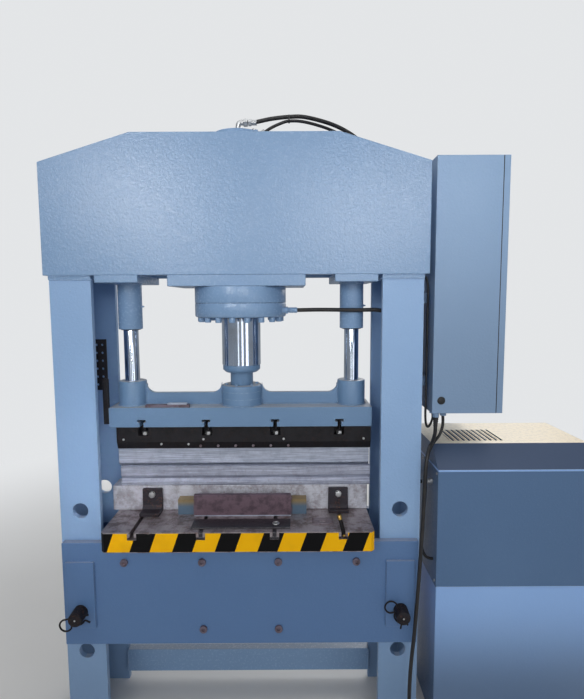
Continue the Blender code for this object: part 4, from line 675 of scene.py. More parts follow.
def make_supply_cable():
    """The supply cable from its gland down to the floor, with its coil, tie, strain relief and plug."""
    route = np.vstack((SUPPLY_DROP, coil_points(), SUPPLY_TAIL))
    path = smooth(route, 0.006)
    cable = piece(
        "supply_cable_run",
        [carried(path, circle(SUPPLY_R, 14))],
        "press",
        SHEATH,
        hides=("supply_cable", "supply_cable_coil", "supply_cable_tail"),
    )
    x, y, z = SUPPLY_TAIL[-1]
    grip = [
        (0.0, 0.0), (0.0095, 0.0), (0.0098, -0.004), (0.0085, -0.007), (0.0105, -0.010), (0.0092, -0.013),
        (0.0115, -0.016), (0.0102, -0.019), (0.0125, -0.022), (0.0112, -0.025), (0.0135, -0.028),
        (0.0125, -0.031), (0.0145, -0.036), (0.0145, -0.044),
    ]
    sleeve = [
        (0.024, -0.0485), (0.0265, -0.053), (0.0275, -0.094), (0.0285, -0.097), (0.0318, -0.099),
        (0.0320, -0.103), (0.0320, -0.137),
    ]
    mouth = [(0.0310, -0.1398), (0.0285, -0.1400), (0.0278, -0.138), (0.0278, -0.110), (0.0, -0.109)]
    body = turned((x, y, z), (1, 0, 0), grip + sleeve + mouth, 72)
    plug = piece("plug_body", [body], "press", PLUG, hides=("supply_plug",))
    ribs = []
    thick = 0.0012
    for a in np.arange(18) * TAU / 18:
        v, w = y + 0.0272 * math.cos(a), z + 0.0272 * math.sin(a)
        ribs.append(bar((x - 0.090, v - thick, w - thick), (x - 0.056, v + thick, w + thick), 0.001))
    ribs = piece("plug_grip_ribs", ribs, "press", PLUG)
    pins = []
    for a, r in zip(np.arange(5) * TAU / 5, (0.0040, 0.0034, 0.0034, 0.0034, 0.0034)):
        at = (x, y + 0.016 * math.cos(a), z + 0.016 * math.sin(a))
        pin = [(0, -0.108), (r, -0.108), (r, -0.1355), (r - 0.0012, -0.138), (0, -0.1385)]
        pins.append(turned(at, (1, 0, 0), pin, 18))
    pins = piece("plug_pins", pins, "press", BRASS)
    gx, gy = SUPPLY_DROP[0][:2]
    ridge = [(0.0102 - 0.0003 * i if i % 2 else 0.0120 - 0.0004 * i, 1.3000 - 0.0042 * i) for i in range(9)]
    rings = [(0, 1.3025), (0.0122, 1.3025)] + ridge + [(0.0078, 1.2620), (0, 1.2615)]
    rings = turned((gx, gy, 0), UPRIGHT, rings, 32)
    relief = piece("supply_strain_relief", [rings], "press", GASKET)
    t = np.linspace(0, TAU, 33)[:-1]
    out = np.array((-0.7071, 0.7071, 0.0))
    centre = COIL + 0.0828 * out + (0, 0, 0.0153)
    strap = centre + np.cos(t)[:, None] * out * 0.0172 + np.sin(t)[:, None] * np.array((0, 0, 0.0143))
    strap = np.vstack((strap, strap[:1], strap[1:2]))
    tie = piece("coil_tie", [carried(strap, rectangle(0.0006, 0.0024))], "press", SHEATH)


MAIN_ROUTE = [
    (0.0403, 0.145, 2.4858), (0.060, 0.145, 2.4858), (0.085, 0.145, 2.4908), (0.135, 0.147, 2.5013),
    (0.2046, 0.150, 2.5094), (0.2693, 0.160, 2.5117), (0.3652, 0.200, 2.5022), (0.4387, 0.230, 2.4818),
    (0.500, 0.262, 2.4525), (0.556, 0.302, 2.4048), (0.602, 0.335, 2.3348), (0.630, 0.346, 2.2348),
    (0.638, 0.344, 2.0998), (0.640, 0.340, 1.850), (0.645, 0.336, 1.550), (0.645, 0.340, 1.250),
    (0.665, 0.352, 1.080), (0.712, 0.360, 1.004), (0.770, 0.360, 0.980), (COVER_LEFT, 0.360, 0.980),
]
PILOT_ROUTE = [
    (0.0803, 0.145, 2.4433), (0.094, 0.145, 2.4433), (0.109, 0.146, 2.4513), (0.130, 0.148, 2.4653),
    (0.165, 0.150, 2.4818), (0.2046, 0.152, 2.4938), (0.2693, 0.166, 2.4945), (0.3652, 0.211, 2.4830),
    (0.4387, 0.245, 2.4590), (0.500, 0.280, 2.4240), (0.545, 0.316, 2.3720), (0.576, 0.334, 2.2853),
    (0.592, 0.333, 2.1503), (0.606, 0.330, 1.850), (0.612, 0.326, 1.550), (0.616, 0.335, 1.250),
    (0.640, 0.380, 1.060), (0.705, 0.400, 0.960), (0.770, 0.400, 0.930), (COVER_LEFT, 0.400, 0.930),
]
ROD_HOSE_ROUTE = [
    (0.2338, 0.0845, 1.7355), (0.330, 0.0845, 1.7365), (0.460, 0.0840, 1.7345), (0.560, 0.0845, 1.7335),
    (0.615, 0.0845, 1.715), (0.640, 0.0845, 1.650), (0.644, 0.0845, 1.450), (0.640, 0.0845, 1.180),
    (0.652, 0.0845, 1.080), (0.690, 0.0845, 1.030), (0.735, 0.0845, 1.020), (0.775, 0.0845, 1.020),
    (COVER_LEFT, 0.0845, 1.020),
]
CONTROL_ROUTE = [
    (0.830, 0.075, 1.3017), (0.830, 0.075, 1.262), (0.817, 0.070, 1.222), (0.780, 0.052, 1.180),
    (0.760, 0.042, 1.120), (0.753, 0.036, 0.980), (0.747, 0.044, 0.820), (0.748, 0.050, 0.748),
    (0.763, 0.050, 0.712), (0.784, 0.050, 0.700), (COVER_LEFT, 0.050, 0.700),
]
CONDUIT_ROUTE = [
    (0.655, 0.110, 1.8796), (0.700, 0.092, 1.8846), (0.736, 0.066, 1.872), (0.750, 0.050, 1.832),
    (0.751, 0.048, 1.700), (0.751, 0.048, 1.400), (0.752, 0.052, 1.300), (0.764, 0.072, 1.258),
    (0.786, 0.106, 1.254), (0.800, 0.120, 1.279), (0.800, 0.120, 1.3017),
]


def make_hoses():
    """Hoses and held cables on their routes, with the hoses' crimped ferrules and nuts, and the ties."""
    for name, route, radius, finish in (
        ("main_hose", MAIN_ROUTE, 0.008, HOSE),
        ("pilot_hose", PILOT_ROUTE, 0.006, HOSE),
        ("rod_side_hose", ROD_HOSE_ROUTE, 0.008, HOSE),
        ("control_cable", CONTROL_ROUTE, 0.006, SHEATH),
    ):
        piece(
            name + "_run", [carried(smooth(route, 0.008), circle(radius, 16))], "press", finish,
            hides=(name,),
        )
    path = smooth(CONDUIT_ROUTE, 0.0022)
    ridges = 0.93 + 0.07 * np.cos(np.arange(len(path)) * TAU / 2)
    piece(
        "corrugated_conduit", [carried(path, circle(0.005, 12), ridges)], "press", SHEATH,
        hides=("cabinet_conduit",),
    )

    def ferrule(at, axis, radius, length):
        """Crimped sleeve: a tube with four pressed bands, then the hexagon of its nut."""
        wide, pressed = radius * 1.36, radius * 1.22
        steps = [(0, 0), (radius * 1.30, 0), (wide, 0.001)]
        for start in length * (0.12 + 0.22 * np.arange(4)):
            end = start + length * 0.13
            steps += [(wide, start), (pressed, start + 0.002), (pressed, end), (wide, end + 0.002)]
        steps += [(wide, length - 0.001), (radius * 1.28, length), (0, length)]
        nut_at = np.array(at, float) - np.array(axis, float) * radius * 1.5
        return [turned(at, axis, steps, 32), hexagon(nut_at, axis, radius * 2.9, radius * 1.5)]

    ends = ferrule((0.0410 + 0.012, 0.145, 2.4858), (1, 0, 0), 0.0080, 0.022)
    ends += ferrule((0.0810 + 0.009, 0.145, 2.4433), (0.85, 0, 0.53), 0.0060, 0.018)
    ends += ferrule((COVER_LEFT - 0.012, 0.360, 0.980), (-1, 0, 0), 0.0080, 0.032)
    ends += ferrule((COVER_LEFT - 0.009, 0.400, 0.930), (-1, 0, 0), 0.0060, 0.026)
    ends += ferrule((COVER_LEFT - 0.012, 0.0845, 1.020), (-1, 0, 0), 0.0080, 0.032)
    piece("hose_ferrules", ends, "press", ZINC)
    ties = []
    for route, height in ((MAIN_ROUTE, 1.94), (MAIN_ROUTE, 1.56), (ROD_HOSE_ROUTE, 1.40)):
        path = smooth(route, 0.004)
        path = path[path[:, 0] > 0.55]
        at = np.abs(path[:, 2] - height).argmin()
        ties.append(carried(path[at : at + 2], circle(0.0091, 20)))
    t = np.arange(26) % 24 * TAU / 24
    loop = np.stack((np.full(26, 0.2046), 0.151 + 0.0097 * np.cos(t), 2.5016 + 0.0163 * np.sin(t)), -1)
    ties.append(carried(loop, rectangle(0.0006, 0.0030)))
    piece("hose_ties", ties, "press", SHEATH)


# Columns and crosshead


def make_frame_welds():
    """Weld beads where column plates, caps, crosshead, seat and guide plates meet."""
    beads = []
    seed = 10
    for side in (-1, 1):
        out, near, inside = side * COLUMN_OUT, side * COLUMN_IN, side * (COLUMN_IN - 0.0004)
        web, lip = side * (COLUMN_OUT - 0.0205), side * (COLUMN_OUT + 0.0012)
        guide, guide_end = side * 0.3780, side * 0.5435
        for y in (0.0253, 0.2647):
            beads.append(bead([(web, y, 0.02), (web, y, 1.85)], 0.0035, seed, 0.006))
            seed += 1
        for step, radius, *ends in (
            (0, 0.0030, (out, -0.0006, CAP_SEAM), (near, -0.0006, CAP_SEAM)),
            (1, 0.0030, (out, 0.2906, CAP_SEAM), (near, 0.2906, CAP_SEAM)),
            (2, 0.0030, (lip, -0.006, SEAT_SEAM + 0.0004), (near, -0.006, SEAT_SEAM + 0.0004)),
            (3, 0.0030, (inside, 0.004, CAP_SEAM), (inside, 0.022, CAP_SEAM)),
            (5, 0.0026, (guide, 0.3004, SEAT_SEAM), (guide_end, 0.3004, SEAT_SEAM)),
            (8, 0.0030, (guide, 0.022, SEAT_SEAM), (guide, 0.268, SEAT_SEAM)),
        ):
            beads.append(bead(ends, radius, seed + step))
        seed += 9
    seat = 0.265
    beads.append(bead([(-seat, 0.3004, SEAT_SEAM), (seat, 0.3004, SEAT_SEAM)], 0.0030, seed + 1))
    for x in (-seat, seat):
        beads.append(bead([(x, 0.022, SEAT_SEAM), (x, 0.268, SEAT_SEAM)], 0.003, seed + 2))
    for side in (-1, 1):
        front, back = side * 0.5617, side * 0.5627
        beads.append(bead([(front, 0.2500, 0.052), (front, 0.2500, 0.151)], 0.0035, seed + 3))
        beads.append(bead([(back, 0.2905, 0.052), (back, 0.2905, 0.151)], 0.0030, seed + 4))
    piece("frame_weld_beads", beads, "press", LIT_COLUMN_ENAMEL)


def ring_bead(centre, radius, z, thick, seed):
    """A weld bead round a circle, its two ends run over each other."""
    t = np.linspace(0, TAU * 1.01, 90)
    x, y = centre[0] + radius * np.cos(t), centre[1] + radius * np.sin(t)
    return bead(np.stack((x, y, np.full_like(t, z)), -1), thick, seed)


def make_cylinder():
    """Cylinder barrel, flange, gland with its socket screws and wiper, end cap and ports."""
    at = (0, CYLINDER_Y, 0)
    barrel = [
        (0.1000, 1.7650), (0.1840, 1.7650), (0.1864, 1.7662), (0.1870, 1.7680), (0.1870, 1.8270),
        (0.1862, 1.8292), (0.1840, 1.8300),
    ]
    barrel += [
        (0.1215, 1.8300), (0.1205, 1.8310), (0.1200, 1.8330), (0.1200, 2.3935), (0.1185, 2.3950),
        (0.1000, 2.3950), (0.1000, 1.7650),
    ]
    piece(
        "cylinder_body", [turned(at, UPRIGHT, barrel, 128)], "press", FRAME,
        hides=("cylinder_barrel",),
    )
    gland = [
        (0.0808, 1.7087), (0.1800, 1.7087), (0.1842, 1.7105), (0.1870, 1.7147), (0.1870, 1.7622),
        (0.1864, 1.7640), (0.1848, 1.7647), (0.0808, 1.7647), (0.0808, 1.7087),
    ]
    parts = [turned(at, UPRIGHT, gland, 128)]
    for a in np.arange(18) * TAU / 18 - math.radians(96):
        spot = (0.165 * math.cos(a), CYLINDER_Y + 0.165 * math.sin(a), 1.7090)
        parts.append(screw(spot, (0, 0, -1), 0.0125, 0.0200))
    x, y, z = 0.1735, 0.0845, 1.7355
    fitting = [(0, 0), (0.0115, 0), (0.0115, 0.024), (0.0090, 0.027), (0.0090, 0.036), (0, 0.036)]
    sleeve = [
        (0, 0.036), (0.0105, 0.036), (0.0112, 0.038), (0.0112, 0.044), (0.0100, 0.046), (0.0112, 0.048),
        (0.0112, 0.058), (0.0100, 0.060), (0, 0.060),
    ]
    parts += [
        turned((x, y, z), (1, 0, 0), fitting, 32),
        hexagon((x + 0.013, y, z), (1, 0, 0), 0.026, 0.010, 0.2),
        hexagon((x + 0.027, y, z), (1, 0, 0), 0.022, 0.010),
        turned((x, y, z), (1, 0, 0), sleeve, 32),
    ]
    piece("gland_ring", parts, "press", FRAME, hides=("cylinder_gland",))
    wiper = [
        (0.0804, 1.7088), (0.0880, 1.7088), (0.0880, 1.7060), (0.0862, 1.7042), (0.0812, 1.7030),
        (0.0804, 1.7045), (0.0804, 1.7088),
    ]
    piece("rod_wiper", [turned(at, UPRIGHT, wiper, 96)], "press", GASKET)
    cap = [
        (0, 2.3503), (0.0997, 2.3503), (0.0997, 2.3953), (0.1120, 2.3953), (0.1120, 2.4040), (0.1105, 2.4055),
        (0.1048, 2.4120),
    ]
    cap += [
        (0.1040, 2.4138), (0.1040, 2.4290), (0.1030, 2.4320), (0.0995, 2.4334), (0.0975, 2.4336), (0, 2.4336),
    ]
    parts = [turned(at, UPRIGHT, cap, 96), bar((0.054, 0.133, 2.4320), (0.080, 0.157, 2.4556), 0.002)]
    piece("end_cap_turned", parts, "press", FRAME, hides=("cylinder_end_cap",))
    for name, radius, height, seed in (
        ("end_cap_bead", 0.1165, 2.3962, 71), ("seat_bead", 0.1215, 1.8757, 72),
    ):
        ring = ring_bead((0, CYLINDER_Y), radius, height, 0.0034, seed)
        piece(name, [ring], "press", FRAME)
    elbow = [
        (0, 0.145, 2.4440), (0, 0.145, 2.4680), (0.0030, 0.145, 2.4805), (0.0115, 0.145, 2.4858),
        (0.0200, 0.145, 2.4858), (0.030, 0.145, 2.4858),
    ]
    path = smooth(elbow, 0.0022)
    parts = [
        hexagon((0, 0.145, 2.4339), (0, 0, 1), 0.032, 0.0110, 0.3),
        hexagon((0, 0.145, 2.4450), (0, 0, 1), 0.027, 0.0080, 0.1),
        carried(path, circle(0.0105, 24)),
        hexagon((0.022, 0.145, 2.4858), (1, 0, 0), 0.0275, 0.0170, 0.1),
        hexagon((0.0640, 0.145, 2.4555), (0, 0, 1), 0.016, 0.006, 0.2),
    ]
    piece("port_elbow", parts, "press", ZINC, hides=("top_fitting",))


def make_rod_and_ram():
    """Chromed piston rod, its painted collar, neck and retainer, and the welds and bolts on the ram."""
    at = (0, CYLINDER_Y, 0)
    rod = [
        (0, 1.5100), (0.0790, 1.5100), (0.0800, 1.5108), (0.0800, 2.1000), (0.0980, 2.1000), (0.0995, 2.1012),
        (0.0995, 2.1688), (0.0983, 2.1700), (0, 2.1700),
    ]
    piece("chromed_rod", [turned(at, UPRIGHT, rod, 128)], "ram", CHROME, hides=("piston_rod",))
    neck = [
        (0, 1.3423), (0.0715, 1.3423), (0.0715, 1.3973), (0.0470, 1.3973), (0.0470, 1.4770), (0.0480, 1.4790),
        (0.0500, 1.4793), (0.0656, 1.4793),
    ]
    neck += [
        (0.0668, 1.4799), (0.0769, 1.4893), (0.0776, 1.4912), (0.0776, 1.5085), (0.0770, 1.5099), (0, 1.5099),
    ]
    piece("rod_neck", [turned(at, UPRIGHT, neck, 96)], "ram", SHADED_RAM_ENAMEL)
    retainer = [
        (0.0725, 1.3423), (0.0840, 1.3423), (0.0840, 1.3700), (0.0835, 1.3706), (0.0840, 1.3712),
        (0.0840, 1.3990), (0.0834, 1.3996), (0.0840, 1.4002),
    ]
    retainer += [
        (0.0840, 1.4180), (0.0828, 1.4222), (0.0800, 1.4246), (0.0780, 1.4253), (0.0490, 1.4253),
        (0.0490, 1.3985), (0.0725, 1.3985), (0.0725, 1.3423),
    ]
    parts = [turned(at, UPRIGHT, retainer, 96)]
    for a in (np.arange(6) + 0.25) * TAU / 6:
        spot = (0.0640 * math.cos(a), CYLINDER_Y + 0.0640 * math.sin(a), 1.4250)
        parts.append(screw(spot, UPRIGHT, 0.0068, 0.0060))
    piece("retainer_ring", parts, "ram", SHADED_RAM_ENAMEL, hides=("rod_retainer",))
    beads = [ring_bead((0, CYLINDER_Y), 0.0855, RAM_SEAM, 0.0032, 81)]
    seed = 90
    for side in (-1, 1):
        beads.append(ring_bead((side * GUIDE_X, CYLINDER_Y), 0.0590, RAM_SEAM, 0.0032, seed))
        for y in (0.1338, 0.1562):
            beads.append(bead([(side * 0.088, y, RAM_SEAM), (side * 0.398, y, RAM_SEAM)], 0.0032, seed + 2))
        for y in (0.1350, 0.1550):
            beads.append(bead([(side * 0.0852, y, 1.3440), (side * 0.0850, y, 1.4150)], 0.0030, seed + 5))
            beads.append(bead([(side * 0.4018, y, 1.3440), (side * 0.4020, y, 1.4280)], 0.0030, seed + 7))
        seed += 11
    piece("ram_weld_beads", beads, "ram", SHADED_RAM_ENAMEL)
    guide = [(0, 1.3425), (0.0300, 1.3425), (0.0300, 1.8645), (0.0288, 1.8672), (0.0265, 1.8680), (0, 1.8680)]
    boss = [
        (0.0304, 1.3424), (0.0575, 1.3424), (0.0575, 1.4385), (0.0565, 1.4420), (0.0540, 1.4433),
        (0.0320, 1.4433), (0.0304, 1.4420), (0.0304, 1.3424),
    ]
    house = [
        (0.0309, 1.6590), (0.0455, 1.6590), (0.0478, 1.6600), (0.0485, 1.6620), (0.0485, 1.8449),
        (0.0309, 1.8449), (0.0309, 1.6590),
    ]
    nipple = [
        (0, 0), (0.0045, 0), (0.0045, 0.004), (0.0030, 0.005), (0.0036, 0.008), (0.0020, 0.0105), (0, 0.0110),
    ]
    seal = [
        (0.0303, 1.6588), (0.0400, 1.6588), (0.0400, 1.6568), (0.0325, 1.6550), (0.0303, 1.6562),
        (0.0303, 1.6588),
    ]
    for side, word in ((-1, "left_guide_"), (1, "right_guide_")):
        at = (side * GUIDE_X, CYLINDER_Y, 0)
        rod = turned(at, UPRIGHT, guide, 72)
        piece(word + "rod_ground", [rod], "ram", CHROME, hides=(word + "rod",))
        round_boss = turned(at, UPRIGHT, boss, 80)
        piece(word + "boss_turned", [round_boss], "ram", SHADED_RAM_ENAMEL, hides=(word + "boss",))
        parts = [turned(at, UPRIGHT, house, 80), ring_bead(at, 0.0495, 1.8438, 0.0028, 120)]
        parts.append(turned((side * GUIDE_X + 0.0480, CYLINDER_Y, 1.752), (1, 0, 0), nipple, 18))
        piece(word + "housing_turned", parts, "press", FRAME, hides=(word + "housing",))
        piece(word + "wiper", [turned(at, UPRIGHT, seal, 56)], "press", GASKET)


def make_tool_fasteners():
    """T-bolts in the ram's slots, rows of screws in the tool holder's front, and offcuts left on the ram."""
    heads, nuts = [], []
    shank = [(0, 1.2330), (0.0065, 1.2330), (0.0065, 1.2820), (0, 1.2820)]
    for x in SLOTS_X:
        heads.append(bar((x - 0.0135, 0.088, 1.2815), (x + 0.0135, 0.114, 1.2905), 0.001, 1))
        heads.append(turned((x + 0.003, 0.099, 0), UPRIGHT, shank, 20))
        nuts += nut((x + 0.003, 0.099, 1.2219), UPRIGHT, 0.0220, 0.0110, 0.2)
    piece("holder_t_bolts", heads, "ram", BLACK)
    piece("holder_nuts", nuts, "ram", ZINC)
    face = 0.0802
    spots = (
        (-0.486, 1.2055), (-0.156, 1.2055), (0.1756, 1.2055), (0.5056, 1.2055), (-0.330, 1.186),
        (-0.218, 1.185),
    )
    dots = [screw((x, face, z), (0, -1, 0), 0.0046, 0.0030) for x, z in spots]
    piece("holder_side_screws", dots, "ram", ZINC)
    row = [screw((-0.168 + 0.0725 * i, face, 1.1775), (0, -1, 0), 0.0055, 0.0035) for i in range(6)]
    piece("holder_clamp_screws", row, "ram", RUSTY)
    long_piece = bar((-0.387, 0.0610, 1.3424), (-0.208, 0.0850, 1.3540), 0.0015)
    piece("steel_offcuts", [long_piece], "ram", SCALE)
    short_piece = bar((-0.297, 0.0630, 1.3541), (-0.218, 0.0810, 1.3600), 0.0012)
    piece("bright_offcut", [short_piece], "ram", GROUND)


# Bed, table and dies


def make_bed_details():
    """Bed bolts, weld beads, and the bed pins with their spring clips."""
    bolts = []
    for x, z in (
        (-0.4645, 0.734), (-0.1525, 0.734), (0.1525, 0.734), (0.4645, 0.734), (-0.1525, 0.450),
        (0.1525, 0.450),
    ):
        for y, way in ((-0.0302, -1), (0.3202, 1)):
            bolts.append(screw((x, y, z), (0, way, 0), 0.0155, 0.0100))
    piece("bed_bolts", bolts, "press", SCALE)
    beads = []
    seed = 200
    for side in (-1, 1):
        near, far = side * 0.5850, side * 0.6970
        low, high, y = 0.4620, 0.7380, -0.0318
        corners = ((near, y, low), (far, y, low), (near, y, high), (far, y, high))
        for step, (a, b) in enumerate(((0, 1), (2, 3), (0, 2), (1, 3))):
            beads.append(bead([corners[a], corners[b]], 0.0028, seed + step))
        for x in (side * 0.1422, side * 0.1628):
            for step, y in ((4, 0.0012), (5, 0.2888)):
                beads.append(bead([(x, y, 0.390), (x, y, 0.800)], 0.0030, seed + step))
        seed += 9
    piece("bed_weld_beads", beads, "press", SHADED_BED_ENAMEL)
    pin = [
        (0, -0.1003), (0.0225, -0.1003), (0.0262, -0.0990), (0.0280, -0.0955), (0.0280, 0.3500),
        (0.0250, 0.3570), (0.0180, 0.3600), (0, 0.3600),
    ]
    centre = [(0, -0.1012), (0.0032, -0.1010), (0.0036, -0.1000), (0, -0.0995)]
    route = clip_route()
    for side, word, lean in ((-1, "left", 12), (1, "right", -62)):
        at = (side * COLUMN_X, 0, PIN_Z)
        body = word + "_pin"
        shaft = turned(at, (0, 1, 0), pin, 80)
        piece(word + "_pin_turned", [shaft], body, PIN, hides=(word + "_bed_pin",))
        piece(word + "_pin_centre", [turned(at, (0, 1, 0), centre, 24)], body, ZINC)
        lean = math.radians(lean)
        x = math.cos(lean) * route[:, 0] - math.sin(lean) * route[:, 1] + side * COLUMN_X
        z = math.sin(lean) * route[:, 0] + math.cos(lean) * route[:, 1] + PIN_Z
        clip = carried(smooth(np.stack((x, np.full_like(x, CLIP_Y), z), -1), 0.0025), circle(0.0035, 14))
        piece(word + "_spring_clip", [clip], body, BLACK, hides=(word + "_pin_clip",))


def clip_route():
    """Centreline of a spring clip in its plane: straight leg, round loop, and the leg that hugs the pin."""
    loop, hug, end = 0.024, 0.0325, 0.046 - 0.098
    straight = np.array([(0.046, 0.0), (-0.003, 0.0), (end, 0.0)])
    a = np.radians(np.linspace(-90, -325, 13))[1:]
    ring = np.stack((end + loop * np.cos(a), loop + loop * np.sin(a)), -1)
    reach = math.radians(38)
    a = np.linspace(math.pi - reach, reach, 9)
    wrapped = hug * np.stack((np.cos(a), np.sin(a)), -1)
    tail = wrapped[-1] + np.array([(0.006, 0.001), (0.020, 0.012)])
    return np.vstack((straight, ring, wrapped, tail)) * (1, -1)


def make_table_details():
    """Hazard tape on the table's front, T-nuts in its slots, clamp bolts, and loose small parts on it."""
    low, high = TABLE_TOP - 0.0770, TABLE_TOP - 0.0035
    mouth = TABLE_TOP - 0.0300
    left = [(-0.5237, -0.060), (-0.5237, -0.1003), (-0.5118, TAPE_FRONT)]
    right = [(-x, y) for x, y in reversed(left)]

    def strip(outline, bottom, top):
        """Adds tape 0.6 mm thick along each stretch of an outline seen from above."""
        for a, b in zip(outline[:-1], outline[1:]):
            along = np.array((b[0] - a[0], b[1] - a[1], 0.0))
            out = np.array((along[1], -along[0], 0.0)) / np.linalg.norm(along) * 0.0003
            run = np.array((*a, (bottom + top) / 2)) + along * np.linspace(0, 1, 12)[:, None]
            rise = np.array((0, 0, (top - bottom) / 2))
            grid = run[:, None] + np.array((out + rise, out - rise, -out - rise, -out + rise))
            strips.append(capped(run[0], grid, run[-1]))

    strips = []
    strip(left + right, low, mouth)
    strip(left + [(SLOTS_X[0] - 0.0175, TAPE_FRONT)], mouth, high)
    for a, b in zip(SLOTS_X[:-1], SLOTS_X[1:]):
        strip([(a + 0.0175, TAPE_FRONT), (b - 0.0175, TAPE_FRONT)], mouth, high)
    strip([(SLOTS_X[3] + 0.0175, TAPE_FRONT)] + right, mouth, high)
    piece("hazard_tape", strips, "press", TAPE)
    tees = []
    for x in SLOTS_X[1:3]:
        tees.append(bar((x - 0.0155, -0.1105, 0.8656), (x + 0.0155, -0.0850, 0.8760), 0.0012, 1))
        tees.append(bar((x - 0.0072, -0.1105, 0.8755), (x + 0.0072, -0.0850, 0.8935), 0.0012, 2))
    piece("table_t_nuts", tees, "press", RUBBED)
    z = TABLE_TOP + 0.0002
    flat = bar((-0.185, -0.084, z), (0.2014, -0.002, z + 0.0045), 0.0015, 0)
    piece("flat_steel_bar", [flat], "press", RUBBED)
    lip = bar((-0.193, 0.0332, z), (0.204, 0.0350, z + 0.0035), 0.0006, 0)
    piece("block_lip", [lip], "press", GROUND)
    ring = np.linspace(0, TAU, 14)
    ring = np.stack((0.0115 + 0.0028 * np.cos(ring), 0.0028 + 0.0028 * np.sin(ring)), -1)
    piece("loose_ring", [turned((0.145, -0.050, z + 0.0045), (0, 0, 1), ring, 40)], "press", ZINC)
    shim = [
        bar((0.288, -0.050, z), (0.372, -0.034, z + 0.004), 0.001),
        bar((0.288, -0.014, z), (0.372, 0.006, z + 0.004), 0.001),
        bar((0.288, -0.0341, z), (0.318, -0.0139, z + 0.004), 0.001),
        bar((0.340, -0.0341, z), (0.372, -0.0139, z + 0.004), 0.001),
    ]
    piece("slotted_shim", shim, "press", RUSTY)
    low_end, high_end = np.array((0.4085, -0.0985, 0.8720)), np.array((0.3895, -0.0880, 0.9510))
    lean = high_end - low_end
    reach = float(np.linalg.norm(lean))
    collar = reach - 0.016
    stem = [(0, 0.006), (0.0062, 0.006), (0.0072, 0.008), (0.0072, collar), (0, collar)]
    piece("clamp_stud", [turned(low_end, lean, stem, 28)], "press", BLACK)
    foot = [(0, 0), (0.0075, 0), (0.0085, 0.001), (0.0085, 0.007), (0, 0.007)]
    head = [(0, collar), (0.0088, collar), (0.0088, reach - 0.002), (0.0075, reach), (0, reach)]
    caps = [turned(low_end, lean, cap, 28) for cap in (foot, head)]
    piece("clamp_stud_caps", caps, "press", BRASS)
    clamp_bolts = []
    for x in (-0.376, 0.402):
        z = TABLE_TOP + 0.0003 + 0.097 * 0.76
        clamp_bolts += nut((x, 0.0853, z), (0, -1, 0), 0.0230, 0.0105, 0.3)
    piece("clamp_bolts", clamp_bolts, "press", ZINC)


# Cabinet and power unit


def make_cabinet_details():
    """Hole plug of the cabinet, and the door's seal with the strips that edge its gap."""
    x, z = 0.805, 1.374
    dome = [
        (0, 0), (0.0150, 0), (0.0158, 0.0012), (0.0150, 0.0026), (0.0120, 0.0046), (0.0070, 0.0060),
        (0, 0.0065),
    ]
    piece("cabinet_hole_plug", [turned((x, 0.0199, z), (0, -1, 0), dome, 48)], "press", PLUG)
    low, high = CABINET_LOW, CABINET_LOW + 1.0
    front, back, inset = 0.030, 0.610, 0.012
    seal = [
        bar((1.0165, a, c), (1.0243, b, d), 0.0015)
        for a, b, c, d in (
            (front, front + 0.004, low + inset, high - inset),
            (back - 0.004, back, low + inset, high - inset),
            (front + 0.004, back - 0.004, low + inset, low + inset + 0.004),
            (front + 0.004, back - 0.004, high - inset - 0.004, high - inset),
        )
    ]
    seal += [
        bar((1.0232, 0.0193, low + 0.001), (1.0264, 0.0210, high - 0.001), 0.0005, 2),
        bar((1.0232, 0.0210, low - 0.0006), (1.0264, 0.6190, low + 0.0010), 0.0005, 1),
        bar((1.0232, 0.0210, high - 0.0010), (1.0264, 0.6190, high + 0.0006), 0.0005, 1),
    ]
    piece("door_seal", seal, "press", GASKET)


